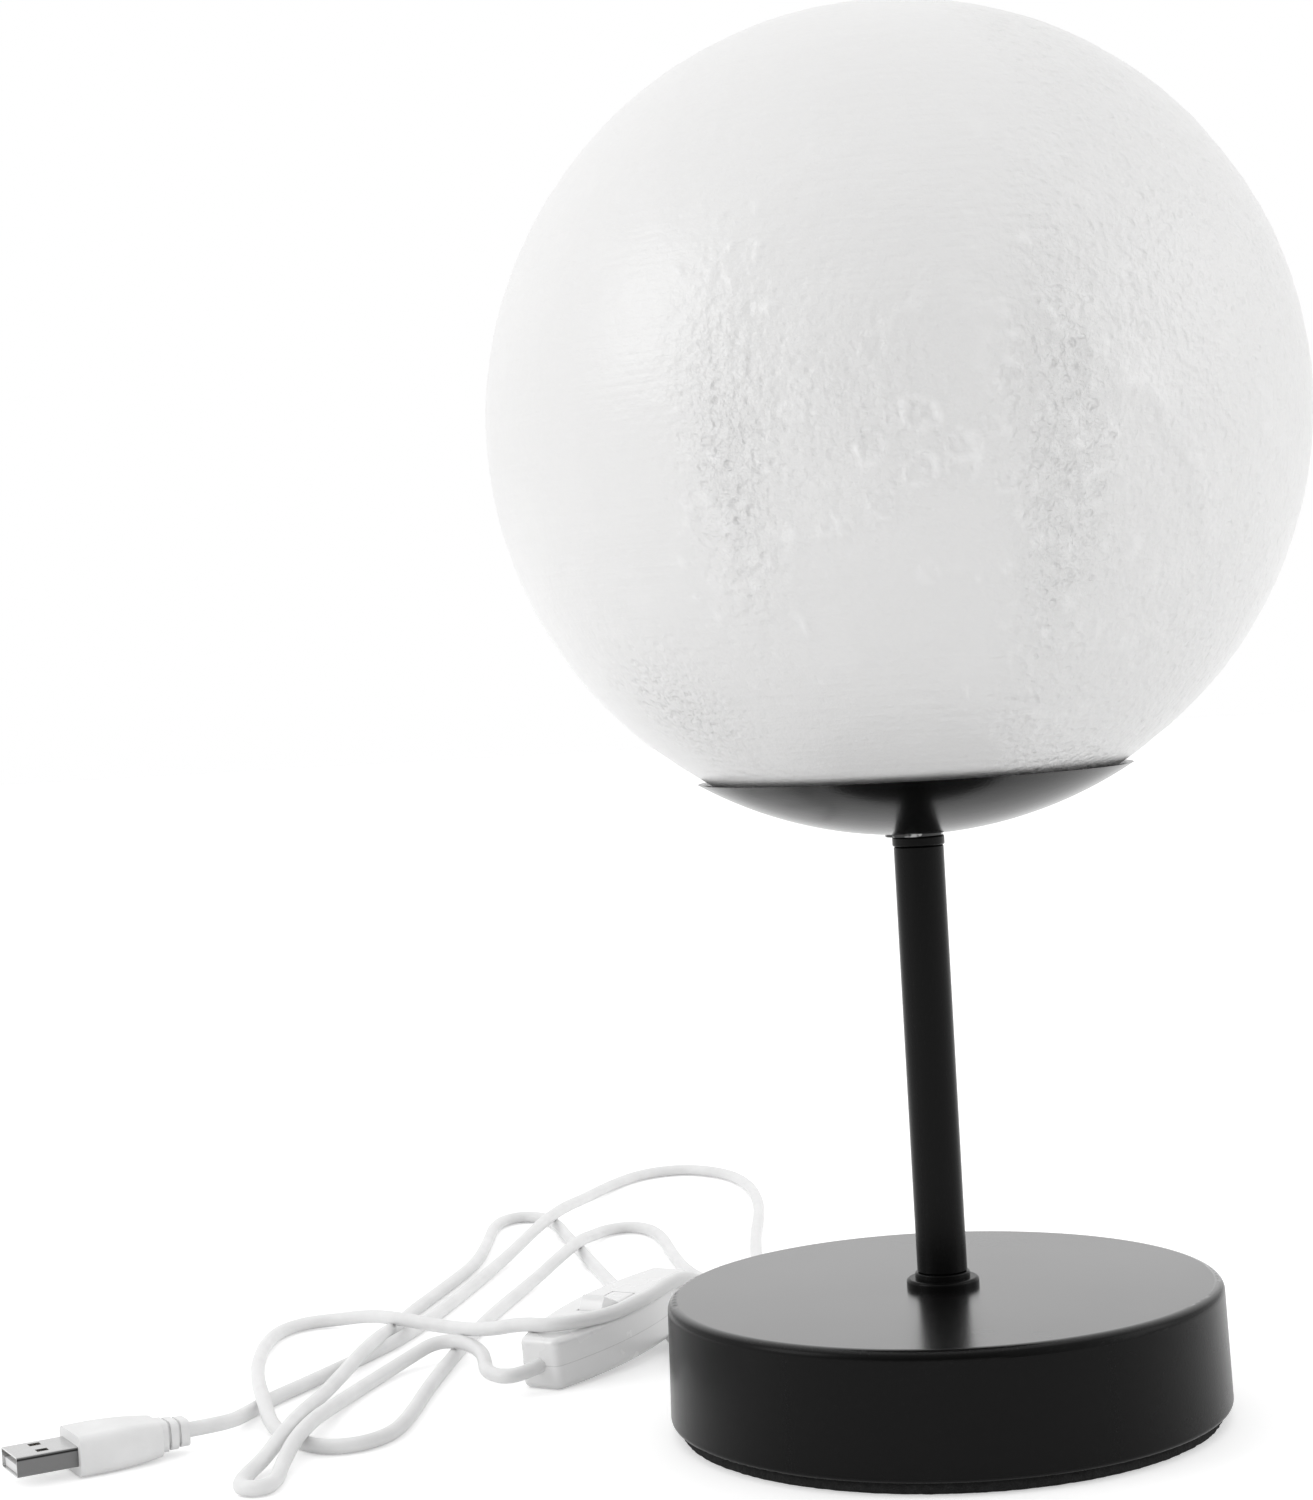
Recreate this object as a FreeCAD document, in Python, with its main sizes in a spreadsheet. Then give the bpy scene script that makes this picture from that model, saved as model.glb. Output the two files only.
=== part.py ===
import FreeCAD, Part
import math
import os
import Sketcher
from FreeCAD import Placement, Rotation, Vector

# A moon lamp: a printed moon globe in a shallow steel cup, on a thin stem and a round
# weighted base, with a USB cord that carries an inline rocker switch.
# Millimetres, +Z up. The origin is on the resting surface, under the middle of the base.

os.makedirs("parts", exist_ok=True)
doc = FreeCAD.newDocument("moon_lamp")
sheet = doc.addObject("Spreadsheet::Sheet", "sizes")

# ---------------------------------------------------------------- driving dimensions
SIZES = [
    # base
    ("base_radius", 61.7, "outer radius of the base cover at its foot"),
    ("base_shoulder", 61.1, "outer radius of its wall under the rolled edge"),
    ("base_top", 29.4, "height of the base's top face"),
    ("base_wall", 1.2, "sheet thickness of the base cover"),
    ("base_edge", 2.2, "radius of the rolled top edge"),
    ("base_foot", 2.6, "height of the cover's bottom lip"),
    ("lip_radius", 59.0, "inner radius of the turned-in lip"),
    ("pad_radius", 59.8, "foam pad radius"),
    ("pad_thick", 2.6, "foam pad thickness"),
    ("plate_radius", 59.0, "bottom plate radius"),
    ("plate_top", 3.8, "height of the bottom plate's upper face"),
    ("weight_radius", 56.5, "ballast disc radius"),
    ("weight_top", 12.3, "height of the ballast disc's upper face"),
    ("weight_bore", 15.0, "radius of the hole in the ballast disc"),
    ("weight_slot", 11.0, "width of the cord's slot in the ballast disc"),
    # cord exit
    ("exit_angle", 145.0, "direction of the cord exit about Z, degrees"),
    ("exit_height", 9.0, "height of the cord exit"),
    ("exit_hole", 3.3, "radius of the hole for the grommet"),
    ("exit_face", 62.9, "distance of the grommet's outer face from the axis"),
    ("lead_bend", 13.0, "bend of the lead inside the base"),
    # threaded rod and fasteners, M8
    ("rod_radius", 4.0, "outer radius of the hollow threaded rods"),
    ("rod_bore", 2.9, "bore radius of the hollow threaded rods"),
    ("rod_hole", 4.1, "radius of the holes that the rods pass"),
    ("nut_flats", 13.0, "width of the nuts across flats"),
    ("nut_thick", 4.0, "nut thickness"),
    ("star_radius", 7.2, "star washer radius"),
    ("star_thick", 0.8, "star washer thickness"),
    # stem
    ("stem_radius", 5.5, "stem tube radius"),
    ("stem_bore", 4.05, "stem tube bore radius"),
    ("stem_foot", 32.6, "height of the stem's lower end"),
    ("stem_head", 129.0, "height of the stem's upper end"),
    ("ferrule_radius", 5.75, "radius of the ring on the stem's upper end"),
    ("ferrule_height", 2.2, "height of that ring"),
    ("collar_radius", 8.0, "flange radius of the collar at the stem's foot"),
    ("collar_tier", 6.05, "radius of the collar's upper tier"),
    ("collar_step", 31.3, "height of the collar's flange top"),
    ("washer_radius", 6.3, "washer between stem and cup"),
    ("washer_hole", 5.0, "hole of that washer, wide enough for it to sit off centre"),
    ("washer_shift", 0.9, "how far it sits off centre, towards -X"),
    # cup
    ("cup_radius", 91.1, "outer radius of curvature of the cup"),
    ("cup_wall", 0.8, "sheet thickness of the cup"),
    ("cup_rim", 142.8, "height of the cup's rim"),
    ("cup_flat", 9.5, "radius of the flat that the nut clamps"),
    # globe
    ("globe_radius", 90.0, "outer radius of the globe"),
    ("globe_wall", 1.6, "printed wall of the globe"),
    ("globe_middle", 220.4, "height of the globe's centre"),
    ("globe_seat", 139.0, "height of the globe's flat underside"),
    ("globe_mouth", 24.0, "radius of the opening in the underside"),
    ("globe_floor", 3.0, "thickness of the ring round the opening"),
    # light
    ("flange_radius", 33.5, "holder flange radius"),
    ("flange_thick", 2.0, "holder flange thickness"),
    ("hub_radius", 9.5, "holder hub radius"),
    ("turret_radius", 23.2, "outer radius of the holder's turret"),
    ("turret_wall", 2.0, "wall of the turret"),
    ("turret_top", 150.5, "height of the turret's rim"),
    ("board_radius", 22.6, "light board radius"),
    ("board_thick", 1.6, "light board thickness"),
    ("boss_offset", 15.5, "distance of the board's screw bosses from the axis"),
    ("globe_screws", 28.5, "pitch radius of the screws that hold the globe"),
    # cord
    ("cord_diameter", 3.1, "diameter of the cord"),
    # switch
    ("switch_x", -82.2, "place of the switch"),
    ("switch_y", 65.3, "place of the switch"),
    ("switch_turn", 63.5, "direction of the switch about Z, degrees"),
    ("switch_tilt", 4.0, "rise of its far end, which lies on the cord, degrees"),
    ("switch_length", 62.0, "length of the switch"),
    ("switch_width", 20.5, "width at the middle"),
    ("switch_end", 10.2, "width at the ends"),
    ("switch_split", 6.0, "height of the parting line"),
    ("switch_height", 12.5, "height of the switch without its rocker"),
    ("switch_wall", 1.4, "wall of the switch"),
    ("switch_rim", 1.6, "rounding of its top and bottom rims"),
    ("switch_roof", 1.6, "thickness of its roof and floor"),
    ("post_along", 21.0, "place of its screw posts along it, one at either end"),
    ("post_across", 3.9, "place of the posts across it, on opposite sides"),
    ("post_radius", 2.0, "radius of the posts"),
    ("pivot_height", 9.6, "height of the rocker's pivot in the switch"),
    ("rocker_reach", 8.0, "radius of the rocker's ends about its pivot"),
    ("rocker_width", 6.4, "width of the rocker"),
    ("rocker_angle", 13.5, "tilt of the rocker either way, degrees"),
    ("rocker_valley", 3.1, "height of the rocker's middle above its pivot"),
    ("crest_angle", 36.0, "angle of the rocker's top corners about its pivot, degrees"),
    ("skirt_angle", 12.0, "angle its ends reach below the pivot, degrees"),
    ("stalk_half", 2.2, "half width of the stalk that carries the plunger"),
    ("stalk_reach", 3.3, "depth of the stalk below the pivot"),
    ("trunnion_radius", 1.0, "radius of the rocker's trunnions"),
    ("plunger_reach", 5.45, "depth of the plunger's tip below the pivot"),
    ("plunger_tip", 0.8, "radius of the plunger's round tip"),
    ("plunger_body", 1.2, "radius of the plunger in its bore"),
    ("saddle_height", 3.2, "height of the contact blade's hinge in the switch"),
    ("blade_angle", 8.0, "tilt of the contact blade either way, degrees"),
    ("blade_half", 6.0, "half length of the contact blade"),
    ("blade_under", 0.52, "height of its underside over its hinge"),
    ("blade_thick", 0.4, "thickness of the blade"),
    ("blade_width", 3.6, "width of the blade and its saddle"),
    # plug
    ("plug_x", -204.2, "place of the plug's mouth"),
    ("plug_y", -28.4, "place of the plug's mouth"),
    ("plug_z", 4.7, "height of the plug's middle"),
    ("plug_turn", 33.5, "direction of the plug about Z, degrees"),
    ("plug_width", 12.0, "width of the metal shell"),
    ("plug_height", 4.5, "height of the metal shell"),
    ("plug_wall", 0.35, "sheet thickness of the metal shell"),
    ("plug_bare", 13.6, "length of the metal shell that shows"),
    ("plug_buried", 5.0, "length of the metal shell inside the grip"),
    ("grip_length", 19.4, "length of the moulded grip"),
    ("relief_length", 7.0, "length of the strain relief"),
]
for row, (alias, number, note) in enumerate(SIZES, 1):
    sheet.set(f"A{row}", note)
    sheet.set(f"B{row}", str(number))
    sheet.setAlias(f"B{row}", alias)
doc.recompute()


def size(expression):
    """The number that an expression of sheet aliases stands for."""
    value = sheet.evalExpression(expression)
    return float(getattr(value, "Value", value))


def bound(expression):
    """The same expression as another object of the document writes it."""
    for alias, _, _ in sorted(SIZES, key=lambda entry: -len(entry[0])):
        expression = expression.replace(alias, f"<<{alias}>>")
    return expression.replace("<<", "sizes.").replace(">>", "")


# ---------------------------------------------------------------- building helpers
def new_body(name):
    body = doc.addObject("PartDesign::Body", name)
    body.Label = name
    return body


def new_sketch(body, name, role, offset=None):
    """A sketch on one of the body's own origin planes, moved along its normal by offset."""
    sketch = body.newObject("Sketcher::SketchObject", name)
    plane = [p for p in body.Origin.OriginFeatures if p.Role == role][0]
    sketch.AttachmentSupport = (plane, "")
    sketch.MapMode = "FlatFace"
    if offset is not None:
        sketch.setExpression("AttachmentOffset.Base.z", bound(offset))
    return sketch


def pin_point(sketch, curve, end, across, along):
    """Hold a sketch point at coordinates given as expressions."""
    for kind, expression, axis in (("DistanceX", across, -2), ("DistanceY", along, -1)):
        number = size(expression)
        if abs(number) < 1e-9:
            sketch.addConstraint(Sketcher.Constraint("PointOnObject", curve, end, axis))
            continue
        index = sketch.addConstraint(Sketcher.Constraint(kind, -1, 1, curve, end, number))
        sketch.setExpression(f"Constraints[{index}]", bound(expression))


def outline(sketch, corners):
    """A closed outline. A corner is (x, y) or (x, y, radius): the radius makes the side
    that ends there an arc, bulging right of the way for a positive radius."""
    count = len(corners)
    first = sketch.GeometryCount
    points = [Vector(size(c[0]), size(c[1]), 0) for c in corners]
    for k in range(count):
        start, end = points[k - 1], points[k]
        if len(corners[k]) == 2:
            sketch.addGeometry(Part.LineSegment(start, end))
            continue
        radius = size(corners[k][2])
        chord = end - start
        rise = math.sqrt(radius**2 - (chord.Length / 2) ** 2)
        left = Vector(-chord.y, chord.x, 0).normalize()
        centre = start + chord / 2 + left * math.copysign(rise, radius)
        begin = math.atan2(start.y - centre.y, start.x - centre.x)
        stop = math.atan2(end.y - centre.y, end.x - centre.x)
        circle = Part.Circle(centre, Vector(0, 0, 1), abs(radius))
        if radius > 0:
            sketch.addGeometry(Part.ArcOfCircle(circle, begin, stop))
        else:
            sketch.addGeometry(Part.ArcOfCircle(circle, stop, begin))
    for k in range(count):
        backwards = len(corners[k]) == 3 and size(corners[k][2]) < 0
        follower = corners[(k + 1) % count]
        follower_backwards = len(follower) == 3 and size(follower[2]) < 0
        this_end = 1 if backwards else 2
        next_start = 2 if follower_backwards else 1
        this, following = first + k, first + (k + 1) % count
        sketch.addConstraint(
            Sketcher.Constraint("Coincident", this, this_end, following, next_start)
        )
    for k in range(count):
        backwards = len(corners[k]) == 3 and size(corners[k][2]) < 0
        pin_point(sketch, first + k, 1 if backwards else 2, corners[k][0], corners[k][1])
        if len(corners[k]) == 3:
            radius = abs(size(corners[k][2]))
            index = sketch.addConstraint(Sketcher.Constraint("Radius", first + k, radius))
            sketch.setExpression(f"Constraints[{index}]", bound(corners[k][2].lstrip("-")))


def disc(sketch, across, along, radius):
    """A full circle at (across, along)."""
    circle = Part.Circle(Vector(size(across), size(along), 0), Vector(0, 0, 1), size(radius))
    curve = sketch.addGeometry(circle)
    pin_point(sketch, curve, 3, across, along)
    index = sketch.addConstraint(Sketcher.Constraint("Radius", curve, size(radius)))
    sketch.setExpression(f"Constraints[{index}]", bound(radius))


def rectangle(sketch, low_x, low_y, high_x, high_y):
    outline(sketch, [(low_x, low_y), (high_x, low_y), (high_x, high_y), (low_x, high_y)])


def turned(name, corners):
    """A body turned about Z from an outline of (radius, height) corners."""
    body = new_body(name)
    sketch = new_sketch(body, name + "_profile", "XZ_Plane")
    outline(sketch, corners)
    turn = body.newObject("PartDesign::Revolution", name + "_turn")
    turn.Profile = sketch
    turn.ReferenceAxis = (sketch, ["V_Axis"])
    turn.Angle = 360
    doc.recompute()
    return body


def padded(body, name, sketch, length, backwards=False):
    pad = body.newObject("PartDesign::Pad", name)
    pad.Profile = sketch
    pad.setExpression("Length", bound(length))
    pad.Reversed = backwards
    doc.recompute()
    return pad


def cut(body, name, sketch, depth, backwards=False):
    """A pocket, which has to take something away."""
    before = body.Shape.Volume
    pocket = body.newObject("PartDesign::Pocket", name)
    pocket.Profile = sketch
    pocket.setExpression("Length", bound(depth))
    pocket.Reversed = backwards
    doc.recompute()
    if not body.Shape.Volume < before - 1e-6:
        raise RuntimeError(f"{name} cuts nothing")
    return pocket


def round_edges(body, name, radius, wanted, kind="Fillet"):
    """Fillet or chamfer the body's edges for which wanted(edge) is true."""
    tip = body.Tip
    names = [f"Edge{i}" for i, e in enumerate(tip.Shape.Edges, 1) if wanted(e)]
    if not names:
        raise RuntimeError(f"{name} finds no edge")
    feature = body.newObject(f"PartDesign::{kind}", name)
    feature.Base = (tip, names)
    feature.setExpression("Radius" if kind == "Fillet" else "Size", bound(radius))
    doc.recompute()
    return feature


def repeated(body, name, feature, count):
    """The feature again, count times round Z."""
    pattern = body.newObject("PartDesign::PolarPattern", name)
    pattern.Originals = [feature]
    pattern.Axis = ([a for a in body.Origin.OriginFeatures if a.Role == "Z_Axis"][0], [""])
    pattern.Angle = 360
    pattern.Occurrences = count
    body.Tip = pattern
    doc.recompute()
    return pattern


def solid(name, shape):
    """A plain feature for a shape that neither sketches nor primitives make."""
    feature = doc.addObject("Part::Feature", name)
    feature.Label = name
    feature.Shape = shape
    return feature


def at_height(edge, height):
    box = edge.BoundBox
    return abs(box.ZMin - height) < 1e-4 and abs(box.ZMax - height) < 1e-4


# ---------------------------------------------------------------- base
def make_base():
    """Drawn steel cover, ballast, bottom plate and foam pad."""
    inner = "base_radius - base_wall"
    shoulder = "base_shoulder - base_wall"
    under = "base_top - base_wall"
    cover = turned(
        "base_cover",
        [
            ("rod_hole", under),
            ("base_shoulder - base_edge", under),
            (shoulder, "base_top - base_edge", "-(base_edge - base_wall)"),
            (inner, "base_foot + base_wall"),
            ("lip_radius", "base_foot + base_wall"),
            ("lip_radius", "base_foot"),
            (inner, "base_foot"),
            ("base_radius", "base_foot + base_wall", "base_wall"),
            ("base_shoulder", "base_top - base_edge"),
            ("base_shoulder - base_edge", "base_top", "base_edge"),
            ("rod_hole", "base_top"),
        ],
    )
    hole = new_sketch(cover, "exit_hole_sketch", "YZ_Plane", "base_radius - 8")
    disc(hole, "0", "exit_height", "exit_hole")
    cut(cover, "exit_hole_cut", hole, "20", backwards=True)
    turn_to_exit(cover)

    weight = turned(
        "ballast_disc",
        [
            ("weight_bore", "plate_top"),
            ("weight_radius", "plate_top"),
            ("weight_radius", "weight_top"),
            ("weight_bore", "weight_top"),
        ],
    )
    slot = new_sketch(weight, "ballast_slot_sketch", "XY_Plane")
    half = "weight_slot / 2"
    rectangle(slot, "0", "-" + half, "base_radius", half)
    cut(weight, "ballast_slot", slot, "base_top", backwards=True)
    edges = lambda e: at_height(e, size("weight_top")) and e.Length > 40
    round_edges(weight, "ballast_chamfer", "0.8", edges, "Chamfer")
    turn_to_exit(weight)

    turned(
        "bottom_plate",
        [
            ("0", "pad_thick"),
            ("plate_radius", "pad_thick"),
            ("plate_radius", "plate_top"),
            ("0", "plate_top"),
        ],
    )
    pad = turned(
        "foam_pad",
        [("0", "0"), ("pad_radius", "0"), ("pad_radius", "pad_thick"), ("0", "pad_thick")],
    )
    round_edges(pad, "foam_edge", "0.4", lambda e: at_height(e, size("pad_thick")))


def turn_to_exit(body):
    """Turn a body about Z, from +X to the cord exit."""
    body.Placement = Placement(Vector(), Rotation(Vector(0, 0, 1), size("exit_angle")))


def on_exit_axis(body):
    """Lay a body turned about Z along the cord exit, its height becoming its radius."""
    turn = Rotation(Vector(0, 0, 1), size("exit_angle"))
    lay = Rotation(Vector(0, 1, 0), 90)
    body.Placement = Placement(Vector(0, 0, size("exit_height")), turn * lay)


def make_cord_exit():
    """Rubber grommet in the wall, and the clamp on the lead behind it."""
    bore = "cord_diameter / 2"
    grommet = turned(
        "cord_grommet",
        [
            (bore, "base_radius - 2.8"),
            ("exit_hole + 1.1", "base_radius - 2.8"),
            ("exit_hole + 1.1", "base_radius - 1.5"),
            ("exit_hole", "base_radius - 1.5"),
            ("exit_hole", "base_radius"),
            ("exit_hole + 1.1", "base_radius"),
            ("exit_hole + 0.1", "exit_face", "1.6"),
            (bore, "exit_face"),
        ],
    )
    on_exit_axis(grommet)
    clamp = turned(
        "lead_clamp",
        [
            (bore, "base_radius - 6.8"),
            ("3.6", "base_radius - 6.8"),
            ("4.1", "base_radius - 6.3"),
            ("4.1", "base_radius - 2.8"),
            (bore, "base_radius - 2.8"),
        ],
    )
    on_exit_axis(clamp)


# ---------------------------------------------------------------- fasteners and stem
def nut(name, bottom):
    """Hexagon nut whose corners are turned off at 30 degrees."""
    body = new_body(name)
    sketch = new_sketch(body, name + "_hexagon", "XY_Plane", bottom)
    across = f"nut_flats / {math.sqrt(3):.6f}"
    corners = []
    for k in range(6):
        turn = math.radians(60 * k)
        cosine, sine = math.cos(turn), math.sin(turn)
        corners.append((f"({across}) * {cosine:.6f}", f"({across}) * {sine:.6f}"))
    outline(sketch, corners)
    disc(sketch, "0", "0", "rod_radius")
    padded(body, name + "_pad", sketch, "nut_thick")
    profile = new_sketch(body, name + "_corner_sketch", "XZ_Plane")
    flat, corner = "nut_flats / 2 - 0.1", f"{across} + 0.2"
    top = f"{bottom} + nut_thick"
    outline(profile, [(flat, top), (corner, top), (corner, top + " - 0.75")])
    groove = body.newObject("PartDesign::Groove", name + "_corners")
    groove.Profile = profile
    groove.ReferenceAxis = (profile, ["V_Axis"])
    groove.Angle = 360
    doc.recompute()
    return body


def star_washer(name, bottom):
    """Lock washer with teeth round its edge."""
    top = f"{bottom} + star_thick"
    body = turned(
        name,
        [
            ("rod_radius + 0.15", bottom),
            ("star_radius", bottom),
            ("star_radius", top),
            ("rod_radius + 0.15", top),
        ],
    )
    sketch = new_sketch(body, name + "_gap_sketch", "XY_Plane", f"{bottom} - 1")
    disc(sketch, "star_radius + 0.1", "0", "0.85")
    gap = cut(body, name + "_gap", sketch, "3", backwards=True)
    repeated(body, name + "_teeth", gap, 12)
    return body


def rod(name, bottom, top):
    """Hollow threaded rod that the lead runs through."""
    return turned(
        name,
        [
            ("rod_bore", bottom),
            ("rod_radius - 0.4", bottom),
            ("rod_radius", bottom + " + 0.4"),
            ("rod_radius", top + " - 0.4"),
            ("rod_radius - 0.4", top),
            ("rod_bore", top),
        ],
    )


CUP_FLAT_OUTSIDE = "globe_middle - sqrt(cup_radius ^ 2 - cup_flat ^ 2)"
CUP_FLAT_INSIDE = "globe_middle - sqrt((cup_radius - cup_wall) ^ 2 - cup_flat ^ 2)"
CUP_NUT = CUP_FLAT_INSIDE + " + star_thick"
HUB_BOTTOM = CUP_NUT + " + nut_thick"


def make_stem():
    """Stem tube with its collar, ferrule and washer, the rods in it and their nuts."""
    neck = "stem_head - ferrule_height"
    tube = turned(
        "stem_tube",
        [
            ("stem_bore", "stem_foot"),
            ("stem_radius", "stem_foot"),
            ("stem_radius", neck),
            ("stem_bore", neck),
        ],
    )
    ends = lambda e: e.Length > 30 and (
        at_height(e, size("stem_foot")) or at_height(e, size(neck))
    )
    round_edges(tube, "stem_ends", "0.3", ends, "Chamfer")
    turned(
        "stem_collar",
        [
            ("rod_hole", "base_top"),
            ("collar_radius", "base_top"),
            ("collar_radius", "collar_step - 0.7"),
            ("collar_radius - 0.7", "collar_step", "0.7"),
            ("collar_tier", "collar_step"),
            ("collar_tier", "stem_foot - 0.3"),
            ("collar_tier - 0.3", "stem_foot", "0.3"),
            ("rod_hole", "stem_foot"),
        ],
    )
    turned(
        "stem_ferrule",
        [
            ("rod_hole", neck),
            ("ferrule_radius - 0.4", neck),
            ("ferrule_radius", neck + " + 0.4", "0.4"),
            ("ferrule_radius", "stem_head - 0.5"),
            ("ferrule_radius - 0.5", "stem_head", "0.5"),
            ("rod_hole", "stem_head"),
        ],
    )
    washer = turned(
        "stem_washer",
        [
            ("washer_hole", "stem_head"),
            ("washer_radius", "stem_head"),
            ("washer_radius", CUP_FLAT_OUTSIDE),
            ("washer_hole", CUP_FLAT_OUTSIDE),
        ],
    )
    washer.Placement = Placement(Vector(-size("washer_shift"), 0, 0), Rotation())
    inside_top = "base_top - base_wall"
    star_washer("base_star_washer", inside_top + " - star_thick")
    nut("base_nut", inside_top + " - star_thick - nut_thick")
    rod("lower_rod", inside_top + " - star_thick - nut_thick - 1", "stem_foot + 14")
    rod("upper_rod", "stem_head - 14", "globe_seat + nut_thick + 0.6")
    star_washer("cup_star_washer", CUP_FLAT_INSIDE)
    nut("cup_nut", CUP_NUT)
    nut("holder_nut", "globe_seat")


# ---------------------------------------------------------------- cup, globe and light
def make_cup():
    """Spun steel dish, a slice of a sphere a little larger than the globe."""
    inner = "(cup_radius - cup_wall)"
    turned(
        "cup",
        [
            ("rod_hole", CUP_FLAT_OUTSIDE),
            ("cup_flat", CUP_FLAT_OUTSIDE),
            ("sqrt(cup_radius ^ 2 - (globe_middle - cup_rim) ^ 2)", "cup_rim", "cup_radius"),
            (f"sqrt({inner} ^ 2 - (globe_middle - cup_rim) ^ 2)", "cup_rim"),
            ("cup_flat", CUP_FLAT_INSIDE, "-" + inner),
            ("rod_hole", CUP_FLAT_INSIDE),
        ],
    )


def make_globe():
    """Hollow printed sphere, cut flat underneath, with a thicker ring round its opening."""
    inner = "(globe_radius - globe_wall)"
    floor = "globe_seat + globe_floor"
    globe = turned(
        "moon_globe",
        [
            ("globe_mouth", "globe_seat"),
            (
                "sqrt(globe_radius ^ 2 - (globe_middle - globe_seat) ^ 2)",
                "globe_seat",
            ),
            ("globe_radius", "globe_middle", "globe_radius"),
            ("0", "globe_middle + globe_radius", "globe_radius"),
            ("0", "globe_middle + globe_radius - globe_wall"),
            (inner, "globe_middle", "-" + inner),
            (f"sqrt({inner} ^ 2 - (globe_middle - ({floor})) ^ 2)", floor, "-" + inner),
            ("globe_mouth", floor),
        ],
    )
    holes = new_sketch(globe, "globe_pilot_sketch", "XY_Plane", "globe_seat - 1")
    disc(holes, "globe_screws", "0", "1.15")
    pilot = cut(globe, "globe_pilot", holes, "6", backwards=True)
    repeated(globe, "globe_pilots", pilot, 3)


def make_light():
    """Plastic holder clamped on the rod, and the light board on its turret."""
    turret_inner = "turret_radius - turret_wall"
    below = "globe_seat - flange_thick"
    holder = turned(
        "light_holder",
        [
            ("rod_hole", HUB_BOTTOM),
            ("hub_radius", HUB_BOTTOM),
            ("hub_radius", below),
            ("flange_radius", below),
            ("flange_radius", "globe_seat"),
            ("turret_radius", "globe_seat"),
            ("turret_radius", "turret_top"),
            (turret_inner, "turret_top"),
            (turret_inner, "globe_seat"),
            ("rod_hole", "globe_seat"),
        ],
    )
    bosses = new_sketch(holder, "boss_sketch", "XY_Plane", "globe_seat")
    for side in ("boss_offset", "-boss_offset"):
        disc(bosses, side, "0", "3")
        disc(bosses, side, "0", "1.05")
    padded(holder, "boss_pad", bosses, "turret_top - globe_seat")
    holes = new_sketch(holder, "flange_hole_sketch", "XY_Plane", "globe_seat + 1")
    disc(holes, "globe_screws", "0", "1.5")
    hole = cut(holder, "flange_hole", holes, "6")
    repeated(holder, "flange_holes", hole, 3)

    board = turned(
        "light_board",
        [
            ("1.0", "turret_top"),
            ("board_radius", "turret_top"),
            ("board_radius", "turret_top + board_thick"),
            ("1.0", "turret_top + board_thick"),
        ],
    )
    holes = new_sketch(board, "board_hole_sketch", "XY_Plane", "turret_top - 1")
    for side in ("boss_offset", "-boss_offset"):
        disc(holes, side, "0", "1.2")
    cut(board, "board_holes", holes, "6", backwards=True)

    top = size("turret_top + board_thick")
    wide, long, high = 2.8, 3.5, 0.8
    rings = [(4, 7.5, 45.0), (8, 17.0, 22.5)]
    chips = []
    for count, radius, first in rings:
        for k in range(count):
            turn = Rotation(Vector(0, 0, 1), first + 360 * k / count)
            chip = Part.makeBox(wide, long, high, Vector(-wide / 2, -long / 2, 0))
            lens = Part.makeCone(1.15, 0.95, 0.15, Vector(0, 0, high))
            chip = chip.fuse(lens).removeSplitter()
            place = turn.multVec(Vector(radius, 0, 0)) + Vector(0, 0, top)
            chip.Placement = Placement(place, turn)
            chips.append(chip)
    solid("light_chips", Part.makeCompound(chips))

    screws = []
    for side in (-1, 1):
        head = Vector(side * size("boss_offset"), 0, top)
        screws.append(pan_screw(head, Vector(0, 0, 1), 2.0, 1.1, 1.0, 8.0))
    solid("board_screws", Part.makeCompound(screws))
    screws = []
    for k in range(3):
        turn = Rotation(Vector(0, 0, 1), 120 * k)
        place = turn.multVec(Vector(size("globe_screws"), 0, size(below)))
        screws.append(pan_screw(place, Vector(0, 0, -1), 2.4, 1.0, 1.1, 5.0))
    solid("globe_screws", Part.makeCompound(screws))


def pan_screw(seat, out, head_radius, head_height, shank_radius, shank_length):
    """Screw whose head stands out of its seat along out, domed and cross-slotted."""
    shank = Part.makeCylinder(shank_radius, shank_length, seat, out * -1)
    head = Part.makeCylinder(head_radius, head_height, seat, out)
    head = head.makeFillet(head_height * 0.6, [e for e in head.Edges if far_edge(e, seat, out)])
    screw = head.fuse(shank).removeSplitter()
    across = Vector(1, 0, 0) if abs(out.x) < 0.5 else Vector(0, 1, 0)
    for turn in (0, 90):
        bar = Part.makeBox(head_radius, 0.5, head_height, Vector(-head_radius / 2, -0.25, 0))
        frame = Rotation(across, out.cross(across), out, "ZXY")
        bar.Placement = Placement(seat + out * (head_height * 0.5), frame)
        bar.rotate(seat, out, turn)
        screw = screw.cut(bar)
    return screw


def far_edge(edge, seat, out):
    """Whether a round edge lies on the outer face of a screw head."""
    centre = edge.BoundBox.Center
    return (centre - seat).dot(out) > 0.5 and edge.Length > 5 and edge.isClosed()


# ---------------------------------------------------------------- switch
def switch_place():
    """Frame of the switch: X along it, Z up, origin under its middle. It lies on the
    floor at its near end and on the cord further along."""
    turn, tilt = size("switch_turn"), size("switch_tilt")
    rim, slope = size("switch_rim"), math.radians(tilt)
    lift = (size("switch_length") / 2 - rim) * math.sin(slope) + rim * (1 - math.cos(slope))
    frame = Rotation(turn, -tilt, 0)
    return Placement(Vector(size("switch_x"), size("switch_y"), lift), frame)


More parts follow.
